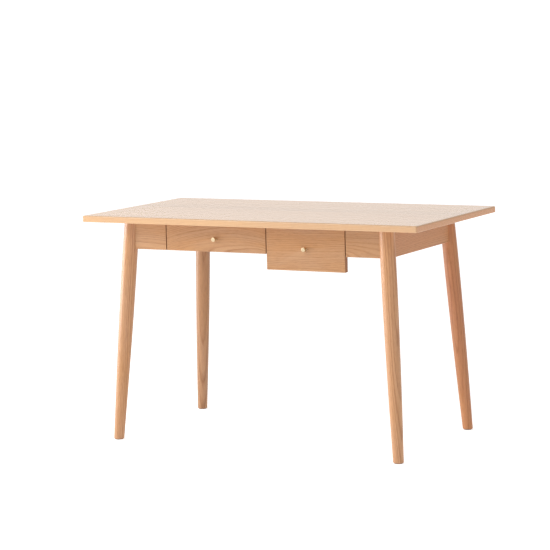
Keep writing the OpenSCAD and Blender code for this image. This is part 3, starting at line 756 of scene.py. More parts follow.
def wool_felt(name):
    """Pressed wool felt: matt dark brown with tangled fibres and a faint halo of fuzz."""
    material, tree, shader = blank(name)
    where = add(tree, "ShaderNodeTexCoord").outputs["Object"]
    # Fibre tangles about 1 mm across; single fibres are too fine to show
    tangle = add(tree, "ShaderNodeTexNoise", {"Vector": where, "Scale": 1100.0,
                                              "Detail": 4.0, "Distortion": 1.2})
    tint = add(tree, "ShaderNodeMix", {
        0: tangle.outputs[0], MIX_A: shaded(metal().felt, 0.6),
        MIX_B: shaded(metal().felt, 1.4)}, data_type="RGBA")
    tree.links.new(tint.outputs[MIX_OUT], shader.inputs["Base Color"])
    shader.inputs["Roughness"].default_value = 0.95
    shader.inputs["Sheen Weight"].default_value = 0.3
    bump = add(tree, "ShaderNodeBump", {"Height": tangle.outputs[0], "Strength": 0.6,
                                        "Distance": 0.2 * MM})
    tree.links.new(bump.outputs["Normal"], shader.inputs["Normal"])
    return material


def shared(make, name):
    """The material of that name, made the first time that it is asked for."""
    return bpy.data.materials.get(name) or make(name)


def steel():
    return shared(zinc_plated_steel, "Zinc-plated steel")


def felt():
    return shared(wool_felt, "Wool felt")


def middle_of(node):
    lo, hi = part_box(node)
    return (lo + hi) / 2


# ---------- geometry node trees ----------

def tree_with(name, sockets):
    """An empty geometry tree with named inputs, its group input and a way to close it."""
    tree = bpy.data.node_groups.new(name, "GeometryNodeTree")
    tree.interface.new_socket("Geometry", in_out="OUTPUT", socket_type="NodeSocketGeometry")
    for label, kind in sockets:
        tree.interface.new_socket(label, in_out="INPUT", socket_type=f"NodeSocket{kind}")
    return tree, tree.nodes.new("NodeGroupInput").outputs


def close_tree(tree, geometry, finish):
    """Ends a tree: instances made real, shaded smooth and given their material."""
    real = add(tree, "GeometryNodeRealizeInstances", {"Geometry": geometry})
    painted = add(tree, "GeometryNodeSetMaterial", {"Geometry": real, "Material": finish})
    add(tree, "NodeGroupOutput", {"Geometry": painted})
    return tree


def grown(tree, start, values):
    """Runs a geometry tree on a mesh and gives back the plain mesh that it makes."""
    thing = bpy.data.objects.new("growing", start)
    bpy.context.scene.collection.objects.link(thing)
    grower = thing.modifiers.new("Grow", "NODES")
    grower.node_group = tree
    for item in tree.interface.items_tree:
        if item.in_out == "INPUT" and item.name in values:
            grower[item.identifier] = values[item.name]
    graph = bpy.context.evaluated_depsgraph_get()
    made = bpy.data.meshes.new_from_object(thing.evaluated_get(graph))
    bpy.data.objects.remove(thing)
    return made


def turned_leg_tree():
    """A leg that follows its rule: a long swell from the foot, then a slight narrowing."""
    tree, given = tree_with("Turned leg", [
        ("Start", "Vector"), ("End", "Vector"), ("Before foot", "Float"),
        ("Length", "Float"), ("Foot", "Float"), ("Belly", "Float"), ("Head", "Float"),
        ("Belly height", "Float"), ("Material", "Material")])
    line = add(tree, "GeometryNodeCurvePrimitiveLine", {"Start": given["Start"],
                                                        "End": given["End"]})
    steps = add(tree, "GeometryNodeResampleCurve", {"Curve": line, "Count": LEG_RINGS})
    along = add(tree, "GeometryNodeSplineParameter").outputs["Length"]
    up = add(tree, "ShaderNodeMath", {0: along, 1: given["Before foot"]},
             operation="SUBTRACT")
    share = add(tree, "ShaderNodeMath", {0: up, 1: given["Belly height"]},
                operation="DIVIDE", use_clamp=True)
    angle = add(tree, "ShaderNodeMath", {0: share, 1: math.pi / 2}, operation="MULTIPLY")
    swell = add(tree, "ShaderNodeMath", {0: angle}, operation="SINE")
    fuller = add(tree, "ShaderNodeMath", {0: given["Belly"], 1: given["Foot"]},
                 operation="SUBTRACT")
    lower = add(tree, "ShaderNodeMath", {0: swell, 1: fuller, 2: given["Foot"]},
                operation="MULTIPLY_ADD")
    above = add(tree, "ShaderNodeMath", {0: up, 1: given["Belly height"]},
                operation="SUBTRACT")
    rest = add(tree, "ShaderNodeMath", {0: given["Length"], 1: given["Belly height"]},
               operation="SUBTRACT")
    share = add(tree, "ShaderNodeMath", {0: above, 1: rest}, operation="DIVIDE",
                use_clamp=True)
    angle = add(tree, "ShaderNodeMath", {0: share, 1: math.pi / 2}, operation="MULTIPLY")
    narrowing = add(tree, "ShaderNodeMath", {0: angle}, operation="COSINE")
    slimmer = add(tree, "ShaderNodeMath", {0: given["Belly"], 1: given["Head"]},
                  operation="SUBTRACT")
    upper = add(tree, "ShaderNodeMath", {0: narrowing, 1: slimmer, 2: given["Head"]},
                operation="MULTIPLY_ADD")
    width = add(tree, "ShaderNodeMath", {0: lower, 1: upper}, operation="MINIMUM")
    radius = add(tree, "ShaderNodeMath", {0: width, 1: 0.5}, operation="MULTIPLY")
    hoop = add(tree, "GeometryNodeCurvePrimitiveCircle", {"Resolution": LEG_AROUND,
                                                          "Radius": 1.0})
    skin = add(tree, "GeometryNodeCurveToMesh", {
        "Curve": steps, "Profile Curve": hoop, "Scale": radius, "Fill Caps": True})
    return close_tree(tree, skin, given["Material"])


def placed(tree, shape, at):
    """Stands a shape at every point of the input, with its Z axis along the point's aim."""
    aim = add(tree, "GeometryNodeInputNamedAttribute", {"Name": "aim"},
              data_type="FLOAT_VECTOR")
    turn = add(tree, "FunctionNodeAlignRotationToVector",
               {"Vector": aim.outputs["Attribute"]}, axis="Z")
    return add(tree, "GeometryNodeInstanceOnPoints", {
        "Points": at, "Instance": shape, "Rotation": turn})


def thread_on(tree, diameter, length, pitch, start):
    """A helical ridge round a shank."""
    turns = add(tree, "ShaderNodeMath", {0: length, 1: pitch}, operation="DIVIDE")
    radius = add(tree, "ShaderNodeMath", {0: diameter, 1: THREAD_AT}, operation="MULTIPLY")
    helix = add(tree, "GeometryNodeCurveSpiral", {
        "Resolution": 14, "Rotations": turns, "Start Radius": radius, "End Radius": radius,
        "Height": length})
    ridge = add(tree, "ShaderNodeMath", {0: diameter, 1: THREAD_RIDGE}, operation="MULTIPLY")
    section = add(tree, "GeometryNodeCurvePrimitiveCircle", {"Resolution": 3,
                                                             "Radius": ridge})
    skin = add(tree, "GeometryNodeCurveToMesh", {"Curve": helix, "Profile Curve": section,
                                                 "Fill Caps": True})
    spot = add(tree, "ShaderNodeCombineXYZ", {"Z": start})
    return add(tree, "GeometryNodeTransform", {"Geometry": skin, "Translation": spot})


def wood_screw_tree():
    """Countersunk wood screws with a cross recess, one at each point."""
    tree, given = tree_with("Wood screws", [
        ("Geometry", "Geometry"), ("Diameter", "Float"), ("Length", "Float"),
        ("Pitch", "Float"), ("Material", "Material")])
    wide, long = given["Diameter"], given["Length"]
    part = {name: add(tree, "ShaderNodeMath", {0: wide, 1: share}, operation="MULTIPLY")
            for name, share in SCREW_PARTS.items()}
    head = add(tree, "GeometryNodeMeshCone", {
        "Vertices": 40, "Radius Bottom": wide, "Radius Top": part["half"],
        "Depth": part["half"]})
    cross = add(tree, "GeometryNodeMeshBoolean", {"Mesh 1": head}, operation="DIFFERENCE")
    for x, y in (("across", "slim"), ("slim", "across")):
        bar = add(tree, "ShaderNodeCombineXYZ", {"X": part[x], "Y": part[y],
                                                 "Z": part["deep"]})
        cutter = add(tree, "GeometryNodeMeshCube", {"Size": bar})
        tree.links.new(cutter.outputs["Mesh"], cross.inputs["Mesh 2"])
    shank_long = add(tree, "ShaderNodeMath", {0: long, 1: part["ends"]},
                     operation="SUBTRACT")
    shank = add(tree, "GeometryNodeMeshCone", {
        "Vertices": 20, "Radius Bottom": part["root"], "Radius Top": part["neck"],
        "Depth": shank_long})
    shank_at = add(tree, "ShaderNodeCombineXYZ", {"Z": part["half"]})
    shank = add(tree, "GeometryNodeTransform", {"Geometry": shank.outputs["Mesh"],
                                                "Translation": shank_at})
    point = add(tree, "GeometryNodeMeshCone", {
        "Vertices": 20, "Radius Bottom": part["neck"], "Radius Top": part["sharp"],
        "Depth": part["tip"]})
    tip_at = add(tree, "ShaderNodeMath", {0: long, 1: part["tip"]}, operation="SUBTRACT")
    tip_spot = add(tree, "ShaderNodeCombineXYZ", {"Z": tip_at})
    point = add(tree, "GeometryNodeTransform", {"Geometry": point.outputs["Mesh"],
                                                "Translation": tip_spot})
    thread_long = add(tree, "ShaderNodeMath", {0: long, 1: THREAD_LONG},
                      operation="MULTIPLY")
    thread_start = add(tree, "ShaderNodeMath", {0: long, 1: THREAD_START},
                       operation="MULTIPLY")
    thread = thread_on(tree, wide, thread_long, given["Pitch"], thread_start)
    whole = tree.nodes.new("GeometryNodeJoinGeometry")
    for shape in (cross, shank, point, thread):
        tree.links.new(shape.outputs[0], whole.inputs["Geometry"])
    stand = placed(tree, whole, given["Geometry"])
    return close_tree(tree, stand, given["Material"])


def hanger_bolt_tree():
    """Threaded rods, one at each point."""
    tree, given = tree_with("Hanger bolts", [
        ("Geometry", "Geometry"), ("Diameter", "Float"), ("Length", "Float"),
        ("Thread", "Float"), ("Pitch", "Float"), ("Material", "Material")])
    root = add(tree, "ShaderNodeMath", {0: given["Diameter"], 1: ROD},
               operation="MULTIPLY")
    rod = add(tree, "GeometryNodeMeshCylinder", {
        "Vertices": 32, "Radius": root, "Depth": given["Length"]})
    middle = add(tree, "ShaderNodeMath", {0: given["Length"], 1: 0.5},
                 operation="MULTIPLY")
    spot = add(tree, "ShaderNodeCombineXYZ", {"Z": middle})
    rod = add(tree, "GeometryNodeTransform", {"Geometry": rod.outputs["Mesh"],
                                              "Translation": spot})
    start = add(tree, "ShaderNodeMath", {0: given["Length"], 1: given["Thread"]},
                operation="SUBTRACT")
    thread = thread_on(tree, given["Diameter"], given["Thread"], given["Pitch"], start)
    whole = tree.nodes.new("GeometryNodeJoinGeometry")
    for part in (rod, thread):
        tree.links.new(part.outputs[0], whole.inputs["Geometry"])
    stand = placed(tree, whole, given["Geometry"])
    return close_tree(tree, stand, given["Material"])


def washer_tree():
    """Flat washers with softened rims, one at each point."""
    tree, given = tree_with("Washers", [
        ("Geometry", "Geometry"), ("Hole", "Float"), ("Rim", "Float"),
        ("Thickness", "Float"), ("Material", "Material")])
    both = add(tree, "ShaderNodeMath", {0: given["Hole"], 1: given["Rim"]},
               operation="ADD")
    middle = add(tree, "ShaderNodeMath", {0: both, 1: 0.25}, operation="MULTIPLY")
    gap = add(tree, "ShaderNodeMath", {0: given["Rim"], 1: given["Hole"]},
              operation="SUBTRACT")
    band = add(tree, "ShaderNodeMath", {0: gap, 1: 0.5}, operation="MULTIPLY")
    hoop = add(tree, "GeometryNodeCurvePrimitiveCircle", {"Resolution": 48,
                                                          "Radius": middle})
    section = add(tree, "GeometryNodeCurvePrimitiveQuadrilateral", {
        "Width": band, "Height": given["Thickness"]})
    soft = add(tree, "GeometryNodeFilletCurve", {"Curve": section, "Count": 2,
                                                 "Radius": 0.3 * MM}, mode="POLY")
    ring = add(tree, "GeometryNodeCurveToMesh", {"Curve": hoop, "Profile Curve": soft})
    stand = placed(tree, ring, given["Geometry"])
    return close_tree(tree, stand, given["Material"])


def nut_tree():
    """Hexagon nuts, one at each point, bored for their bolts and turned down at the corners."""
    tree, given = tree_with("Nuts", [
        ("Geometry", "Geometry"), ("Width", "Float"), ("Bore", "Float"),
        ("Thickness", "Float"), ("Material", "Material")])
    outer = add(tree, "ShaderNodeMath", {0: given["Width"], 1: 0.5}, operation="MULTIPLY")
    inner = add(tree, "ShaderNodeMath", {0: given["Bore"], 1: 0.5}, operation="MULTIPLY")
    tall = add(tree, "ShaderNodeMath", {0: given["Thickness"], 1: 2.0},
               operation="MULTIPLY")
    block = add(tree, "GeometryNodeMeshCylinder", {
        "Vertices": 6, "Radius": outer, "Depth": given["Thickness"]})
    # Two wide cones meet at the waist and take the sharp corners off both faces
    wide = add(tree, "ShaderNodeMath", {0: given["Width"], 1: NUT_WAIST},
               operation="MULTIPLY")
    small = add(tree, "ShaderNodeMath", {0: given["Width"], 1: NUT_FACE},
                operation="MULTIPLY")
    half = add(tree, "ShaderNodeMath", {0: given["Thickness"], 1: 0.5},
               operation="MULTIPLY")
    cones = []
    for low, high, base in ((wide, small, 0.0), (small, wide, -0.5)):
        cone = add(tree, "GeometryNodeMeshCone", {
            "Vertices": 48, "Radius Bottom": low, "Radius Top": high, "Depth": half})
        drop = add(tree, "ShaderNodeMath", {0: given["Thickness"], 1: base},
                   operation="MULTIPLY")
        spot = add(tree, "ShaderNodeCombineXYZ", {"Z": drop})
        cones.append(add(tree, "GeometryNodeTransform", {
            "Geometry": cone.outputs["Mesh"], "Translation": spot}))
    barrel = add(tree, "GeometryNodeMeshBoolean", operation="UNION")
    for cone in cones:
        tree.links.new(cone.outputs[0], barrel.inputs["Mesh 2"])
    hexagon = add(tree, "GeometryNodeMeshBoolean", operation="INTERSECT")
    for part in (block, barrel):
        tree.links.new(part.outputs[0], hexagon.inputs["Mesh 2"])
    bore = add(tree, "GeometryNodeMeshCylinder", {
        "Vertices": 40, "Radius": inner, "Depth": tall})
    nut = add(tree, "GeometryNodeMeshBoolean", {"Mesh 1": hexagon}, operation="DIFFERENCE")
    tree.links.new(bore.outputs["Mesh"], nut.inputs["Mesh 2"])
    stand = placed(tree, nut, given["Geometry"])
    return close_tree(tree, stand, given["Material"])


def points_at(spots):
    """A mesh of bare points for a tree, each with its place and its aim."""
    mesh = bpy.data.meshes.new("points")
    mesh.from_pydata([place for place, aim in spots], [], [])
    aims = mesh.attributes.new("aim", "FLOAT_VECTOR", "POINT")
    aims.data.foreach_set("vector", [c for place, aim in spots for c in aim])
    return mesh


def long_solids(node):
    """Place, aim and length of each slim solid in a CAD node. The aim leaves the thick end."""
    solid = copy_of(node)
    found = []
    for group in islands(solid):
        spots = np.array([v.co for v in group])
        middle = np.array(centre_of(group))
        spread = np.linalg.svd(spots - spots.mean(0), full_matrices=False)[2]
        aim = spread[0]
        along = (spots - middle) @ aim
        off = np.linalg.norm(spots - middle - np.outer(along, aim), axis=1)
        half = (along.max() - along.min()) / 2
        centre = middle + aim * (along.max() + along.min()) / 2
        along = (spots - centre) @ aim
        near_end = half * 0.9
        ends = [off[along * side > near_end].max() for side in (-1, 1)]
        if ends[1] > ends[0]:
            aim = -aim
        found.append((Vector(centre - aim * half), Vector(aim), 2 * half))
    solid.free()
    return found


def screws(name, node, diameter, pitch):
    """Puts detailed screws where a CAD node has its plain ones."""
    tree = bpy.data.node_groups.get("Wood screws") or wood_screw_tree()
    by_length = {}
    for place, aim, long in long_solids(node):
        by_length.setdefault(round(long, 4), []).append((place, aim))
    meshes = [grown(tree, points_at(spots), {
        "Diameter": diameter, "Length": long, "Pitch": pitch, "Material": steel()})
        for long, spots in sorted(by_length.items())]
    return piece(name, joined(meshes), body_of(node), [node], [steel()],
                 pale_edges=False)


def felt_discs(name, node, aim):
    """Felt discs with soft, slightly uneven rims where a CAD node has plain ones."""
    # The most that a rim is worn inwards
    worn_in = 0.12 * MM
    source = copy_of(node)
    meshes = []
    for group in islands(source):
        lo, hi = (Vector(c) for c in box_of(group))
        thick = abs((hi - lo).dot(aim))
        radius = max(hi - lo) / 2
        inner = radius * 0.6
        start = (lo + hi) / 2 - aim * thick / 2
        rim = [(0, 0), (inner, 0), (radius, 0), (radius, thick), (inner, thick), (0, thick)]
        disc = turned(rounded_path(rim, thick * 0.3), start, aim, around=56)
        for vert in disc.verts:
            if (vert.co - start).cross(aim).length > radius * 0.7:
                wobble = 0.5 + 0.5 * math.sin(vert.co.x * 9100 + vert.co.y * 7300
                                              + vert.co.z * 5100)
                inward = start - vert.co
                inward -= aim * inward.dot(aim)
                vert.co += inward.normalized() * worn_in * wobble
        mesh = bpy.data.meshes.new("disc")
        disc.to_mesh(mesh)
        disc.free()
        meshes.append(mesh)
    source.free()
    return piece(name, joined(meshes), body_of(node), [node], [felt()],
                 pale_edges=False)


# ---------- operators ----------

class DESK_OT_tabletop(bpy.types.Operator):
    """Build the solid top, glued up from staves, with its rounded edges"""

    bl_idname = "desk.tabletop"
    bl_label = "Tabletop"

    def execute(self, context):
        shape = context.scene.desk_top
        lo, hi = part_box("tabletop")
        solid = bmesh.new()
        profile = [(0.0, lo.z + shape.ease), (0.0, hi.z - shape.round)]
        steps = 8
        for i in range(1, steps + 1):
            turn = math.pi / 2 * i / steps
            profile.append((shape.round * (1 - math.cos(turn)),
                            hi.z - shape.round * (1 - math.sin(turn))))
            profile.insert(0, (shape.ease * (1 - math.cos(turn)),
                               lo.z + shape.ease * (1 - math.sin(turn))))
        rings = [self.outline(solid, lo, hi, inset, height, shape.corner)
                 for inset, height in profile]
        for low, high in zip(rings, rings[1:]):
            for i in range(len(low)):
                j = (i + 1) % len(low)
                solid.faces.new([low[i], low[j], high[j], high[i]])
        solid.faces.new(rings[-1])
        solid.faces.new(rings[0][::-1])
        bmesh.ops.recalc_face_normals(solid, faces=solid.faces)
        finish = wood("Oak, glued top", top_recipe(), X_AXIS, (0, 0, middle_of("tabletop").z),
                      (0.0, 0.0, -0.075), stave=shape.stave, tone=1.02, luck=3.0)
        piece("oak_tabletop", solid, "frame", ["tabletop"], [finish])
        return {"FINISHED"}

    def outline(self, solid, lo, hi, inset, height, corner):
        """One level of the slab: a rectangle with rounded corners."""
        steps = 6
        radius = max(corner - inset, LEAST_CORNER)
        ring = []
        for sx, sy, first in ((1, 1, 0), (-1, 1, 1), (-1, -1, 2), (1, -1, 3)):
            x = (hi.x if sx > 0 else lo.x) - sx * (inset + radius)
            y = (hi.y if sy > 0 else lo.y) - sy * (inset + radius)
            for i in range(steps + 1):
                turn = math.pi / 2 * (first + i / steps)
                ring.append(solid.verts.new((x + radius * math.cos(turn),
                                             y + radius * math.sin(turn), height)))
        return ring


class DESK_OT_legs(bpy.types.Operator):
    """Build the four splayed, turned legs"""

    bl_idname = "desk.legs"
    bl_label = "Legs"

    def execute(self, context):
        shape = context.scene.desk_legs
        tree = turned_leg_tree()
        top_lo, top_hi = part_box("tabletop")
        under = top_lo.z
        # The stock is turned longer than the leg, and sawn off at both ends
        spare = 12 * MM
        # Each leg's side of the desk along X and Y, whether its blank takes the darker rear colours,
        # its tone
        # The rear legs are painted darker as shade from the top: the rear left by its tone, the rear
        # right by its colours
        sides = (("front_left", -1, -1, False, 0.96), ("front_right", 1, -1, False, 1.06),
                 ("rear_left", -1, 1, False, 0.76), ("rear_right", 1, 1, True, 0.97))
        for number, (side, sx, sy, darker_rear_colours, tone) in enumerate(sides):
            node = f"leg_{side}"
            head = Vector((sx * (top_hi.x - shape.inset_x), sy * (top_hi.y - shape.inset_y),
                           under))
            foot = Vector((head.x + sx * shape.splay_x, head.y + sy * shape.splay_y, 0))
            axis = (head - foot).normalized()
            finish = wood(f"Turned oak, {side.replace('_', ' ')}", leg_recipe(darker_rear_colours), axis,
                          (head + foot) / 2, (0.3 * number, 0.022 - 0.012 * number, -0.06),
                          lean=(0.4 * number, 0.008, 0.012), tone=tone, luck=1.7 * number)
            mesh = grown(tree, bpy.data.meshes.new("start"), {
                "Start": foot - axis * spare, "End": head + axis * spare,
                "Before foot": spare, "Length": (head - foot).length, "Foot": shape.foot,
                "Belly": shape.belly, "Head": shape.head, "Belly height": shape.belly_up,
                "Material": finish})
            solid = joined([mesh])
            bmesh.ops.remove_doubles(solid, verts=solid.verts, dist=MERGE)
            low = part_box(node)[0].z
            for height, way in ((low, -1), (under, 1)):
                cut = bmesh.ops.bisect_plane(
                    solid, geom=list(solid.verts) + list(solid.edges) + list(solid.faces),
                    plane_co=(0, 0, height), plane_no=(0, 0, way), clear_outer=True)
                rim = [e for e in cut["geom_cut"] if isinstance(e, bmesh.types.BMEdge)]
                bmesh.ops.contextual_create(solid, geom=rim)
                if way < 0:
                    bmesh.ops.bevel(solid, geom=rim, offset=shape.foot_ease, segments=5,
                                    profile=0.5, affect="EDGES", clamp_overlap=True)
            bmesh.ops.recalc_face_normals(solid, faces=solid.faces)
            piece(f"turned_{node}", solid, "frame", [node], [finish],
                  pale_edges=False)
        return {"FINISHED"}


class DESK_OT_foot_pads(bpy.types.Operator):
    """Build the felt pads under the feet"""

    bl_idname = "desk.foot_pads"
    bl_label = "Foot pads"

    def execute(self, context):
        felt_discs("felt_foot_pads", "foot_pads", Z_AXIS)
        return {"FINISHED"}


class DESK_OT_apron(bpy.types.Operator):
    """Build the side rails, the rear rail and the two fixed front panels"""

    bl_idname = "desk.apron"
    bl_label = "Apron"

    def execute(self, context):
        arris = context.scene.desk_timber.arris
        # Each board's grain, place from the pith, lean, tone and luck
        boards = (
            ("side_rail_left", Y_AXIS, (0.2, 0.03, -0.07), (0.0, 0.02, 0.03), 0.98, 2.1),
            # The right side rail's warmer tone is painted shade: that side gets less light
            ("side_rail_right", Y_AXIS, (0.6, -0.01, 0.065), (0.0, 0.03, -0.02),
             (1.12, 0.97, 0.86), 4.4),
            ("rear_rail", X_AXIS, (0.1, -0.07, 0.02), (0.0, 0.01, 0.03), 1.0, 5.2),
            ("front_panel_left", X_AXIS, (0.4, 0.09, 0.05), (0.0, 0.0, 0.02), 0.99, 6.3),
            ("front_panel_right", X_AXIS, (0.9, 0.1, 0.05), (0.0, 0.02, 0.05), 0.99, 7.9),
        )
        for node, along, pith, lean, tone, luck in boards:
            finish = wood(f"Oak, {node.replace('_', ' ')}", oak_recipe(), along,
                          middle_of(node), pith, lean=lean, tone=tone, luck=luck)
            soft_copy(f"oak_{node}", node, finish, arris)
        return {"FINISHED"}


class DESK_OT_inner_rails(bpy.types.Operator):
    """Build the flat rail over the drawers and the rails beside them"""

    bl_idname = "desk.inner_rails"
    bl_label = "Inner rails"

    def execute(self, context):
        recipe = pale_recipe(timber().poplar, 6 * MM, 0.3, 0.6)
        rails = (("front_stretcher", X_AXIS, 1.1), ("divider_left", Y_AXIS, 2.3),
                 ("divider_centre", Y_AXIS, 3.7), ("divider_right", Y_AXIS, 4.9))
        for node, along, luck in rails:
            finish = wood(f"Poplar, {node.replace('_', ' ')}", recipe, along,
                          middle_of(node), (0.0, 0.05, 0.07), luck=luck)
            soft_copy(f"poplar_{node}", node, finish, 0.8 * MM)
        return {"FINISHED"}


class DESK_OT_corner_blocks(bpy.types.Operator):
    """Build the blocks that hold the legs to the rails"""

    bl_idname = "desk.corner_blocks"
    bl_label = "Corner blocks"

    def execute(self, context):
        recipe = pale_recipe(timber().poplar, 6 * MM, 0.3, 0.6)
        for number, side in enumerate(("front_left", "front_right", "rear_left",
                                       "rear_right")):
            node = f"corner_block_{side}"
            slant = Vector((1, 1 if side in ("front_right", "rear_left") else -1, 0))
            finish = wood(f"Poplar, corner block {side.replace('_', ' ')}", recipe, slant,
                          middle_of(node), (0.0, 0.04, 0.06), luck=1.3 * number)
            soft_copy(f"poplar_{node}", node, finish, 1.2 * MM, upright=True)
        return {"FINISHED"}


class DESK_OT_tabletop_buttons(bpy.types.Operator):
    """Build the buttons that hold the top and let it move"""

    bl_idname = "desk.tabletop_buttons"
    bl_label = "Tabletop buttons"

    def execute(self, context):
        recipe = pale_recipe(timber().poplar, 5 * MM, 0.3, 0.6)
        finish = wood("Poplar, buttons", recipe, Y_AXIS, middle_of("tabletop_buttons"),
                      (0.0, 0.05, 0.06), luck=8.8)
        soft_copy("poplar_tabletop_buttons", "tabletop_buttons", finish,
                  0.8 * MM)
        return {"FINISHED"}


class DESK_OT_runners(bpy.types.Operator):
    """Build the hardwood runners that carry the drawers"""

    bl_idname = "desk.runners"
    bl_label = "Runners"

    def execute(self, context):
        for number, side in enumerate(("left_outer", "left_inner", "right_inner",
                                       "right_outer")):
            node = f"runner_{side}"
            finish = wood(f"Oak, runner {side.replace('_', ' ')}", oak_recipe(), Y_AXIS,
                          middle_of(node), (0.0, 0.05, 0.05), tone=0.97, luck=2.2 * number)
            soft_copy(f"oak_{node}", node, finish, 0.6 * MM)
        return {"FINISHED"}


class DESK_OT_frame_fasteners(bpy.types.Operator):
    """Build the bolts, washers, nuts and screws of the frame"""

    bl_idname = "desk.frame_fasteners"
    bl_label = "Frame fasteners"

    def execute(self, context):
        look = metal()
        rods = long_solids("hanger_bolts")
        # The nut end is the one nearer the middle of the desk
        aimed = []
        for place, aim, long in rods:
            if Vector((aim.x, aim.y)).dot(Vector((place.x, place.y))) > 0:
                place, aim = place + aim * long, -aim
            aimed.append((place, aim, long))
        bolts = grown(hanger_bolt_tree(), points_at([(p, a) for p, a, long in aimed]), {
            "Diameter": look.bolt, "Length": aimed[0][2], "Thread": BOLT_THREAD,
            "Pitch": BOLT_PITCH, "Material": steel()})
        piece("zinc_hanger_bolts", joined([bolts]), "frame", ["hanger_bolts"],
              [steel()], pale_edges=False)
        for node, tree, thick, values in (
                ("hanger_washers", washer_tree(), WASHER_THICK,
                 {"Hole": look.bolt + WASHER_PLAY, "Rim": WASHER_RIM * look.bolt}),
                ("hanger_nuts", nut_tree(), NUT_THICK,
                 {"Width": NUT_WIDTH * look.bolt, "Bore": look.bolt})):
            source = copy_of(node)
            spots = []
            for group in islands(source):
                centre = centre_of(group)
                near = min(aimed, key=lambda rod: (centre - rod[0]).cross(rod[1]).length)
                spots.append((centre, near[1]))
            source.free()
            made = grown(tree, points_at(spots),
                         {"Thickness": thick, "Material": steel(), **values})
            piece(f"zinc_{node}", joined([made]), "frame", [node], [steel()],
                  pale_edges=False)
        for node in ("corner_block_screws", "button_screws", "stretcher_screws"):
            screws(f"zinc_{node}", node, look.screw, SCREW_PITCH)
        screws("zinc_runner_screws", "runner_screws", look.small_screw, SMALL_SCREW_PITCH)
        return {"FINISHED"}


class DESK_OT_bumpers(bpy.types.Operator):
    """Build the felt bumpers that the drawer fronts close against"""

    bl_idname = "desk.bumpers"
    bl_label = "Bumpers"

    def execute(self, context):
        felt_discs("felt_drawer_bumpers", "drawer_bumpers", -Y_AXIS)
        return {"FINISHED"}


class DESK_OT_drawer_fronts(bpy.types.Operator):
    """Build the shallow left front and the deep right front"""

    bl_idname = "desk.drawer_fronts"
    bl_label = "Drawer fronts"

    def execute(self, context):
        arris = context.scene.desk_timber.arris
        left = "left_drawer_front"
        swept = wood("Oak, left drawer front", oak_recipe(), X_AXIS, middle_of(left),
                     (0.08, -0.075, 0.055), lean=(0.0, 0.03, 0.02), bow=0.75, tone=0.97,
                     luck=1.0)
        soft_copy("oak_left_drawer_front", left, swept, arris, segments=4)
        # The deep front is glued up from two boards, joined a little above the knob
        right = "right_drawer_front"
        joint = middle_of("right_drawer_knob").z + 6 * MM
        upper = wood("Oak, deep front, upper board", oak_recipe(), X_AXIS, middle_of(right),
                     (0.3, -0.06, 0.11), lean=(0.0, 0.01, 0.0), luck=2.6)
        lower = wood("Oak, deep front, lower board", oak_recipe(), X_AXIS, middle_of(right),
                     (-0.2, -0.07, 0.085), lean=(0.0, 0.04, 0.1), tone=1.01, luck=9.3)
        solid = ease(copy_of(right), arris, segments=4)
        bmesh.ops.bisect_plane(
            solid, geom=list(solid.verts) + list(solid.edges) + list(solid.faces),
            plane_co=(0, 0, joint), plane_no=(0, 0, 1))
        for face in solid.faces:
            face.material_index = int(face.calc_center_median().z < joint)
        piece("oak_right_drawer_front", solid, "right_drawer", [right],
              [upper, lower])
        return {"FINISHED"}


class DESK_OT_drawer_boxes(bpy.types.Operator):
    """Build the drawer boxes: sides, inner fronts, backs, bottoms and stops"""

    bl_idname = "desk.drawer_boxes"
    bl_label = "Drawer boxes"

    def execute(self, context):
        recipe = pale_recipe(timber().paulownia, 5.5 * MM, 0.55, 0.62)
        for number, drawer in enumerate(("left_drawer", "right_drawer")):
            boards = (("side_left", Y_AXIS), ("side_right", Y_AXIS),
                      ("inner_front", X_AXIS), ("back", X_AXIS))
            for place, (part, along) in enumerate(boards):
                node = f"{drawer}_{part}"
                finish = wood(f"Paulownia, {node.replace('_', ' ')}", recipe, along,
                              middle_of(node), (0.0, 0.05, 0.05), lean=(0.0, 0.03, 0.05),
                              luck=1.9 * place + 4.1 * number)
                soft_copy(f"paulownia_{node}", node, finish, 0.8 * MM)
            node = f"{drawer}_bottom"
            ply = birch_plywood(f"Birch plywood, {drawer.replace('_', ' ')}",
                                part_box(node)[0].z)
            soft_copy(f"birch_{node}", node, ply, 0.3 * MM)
            node = f"{drawer}_stop"
            block = wood(f"Oak, {drawer.replace('_', ' ')} stop", oak_recipe(), X_AXIS,
                         middle_of(node), (0.0, 0.04, 0.05), tone=0.97, luck=3.3 * number)
            soft_copy(f"oak_{node}", node, block, 1.0 * MM)
        return {"FINISHED"}


class DESK_OT_knobs(bpy.types.Operator):
    """Build the two turned brass knobs"""

    bl_idname = "desk.knobs"
    bl_label = "Knobs"

    def execute(self, context):
        look = metal()
        flange, waist, dish = 1.6 * MM, 2.8 * MM, 0.15 * MM
        flange_ease, face_ease = 0.5 * MM, 1.1 * MM
        steps = 8
        for drawer in ("left_drawer", "right_drawer"):
            node = f"{drawer}_knob"
            lo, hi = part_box(node)
            head = (hi.x - lo.x) / 2
            long = hi.y - lo.y
            foot, neck = look.knob_foot / 2, look.knob_neck / 2
            # From the front of the drawer: the flange, the waist, and the flare of the head
            line = [(0, 0), (foot, 0), (foot, flange), (neck, waist)]
            line = rounded_path(line, flange_ease)
            swell = long * 0.58
            for i in range(1, steps + 1):
                turn = math.pi / 2 * i / steps
                line.append((neck + (head - neck) * (1 - math.cos(turn)),
                             waist + (swell - waist) * math.sin(turn)))
            # The face is dished a little
            face = rounded_path([(head, swell), (head, long), (head / 2, long - dish * 2 / 3),
                                 (0, long - dish)], face_ease, steps)
            origin = Vector(((lo.x + hi.x) / 2, hi.y, (lo.z + hi.z) / 2))
            solid = turned(line + face[1:], origin, -Y_AXIS, around=80)
            finish = turned_brass(f"Turned brass, {drawer.replace('_', ' ')}", origin)
            piece(f"brass_{node}", solid, drawer, [node], [finish],
                  pale_edges=False, smooth=math.radians(50))
        return {"FINISHED"}


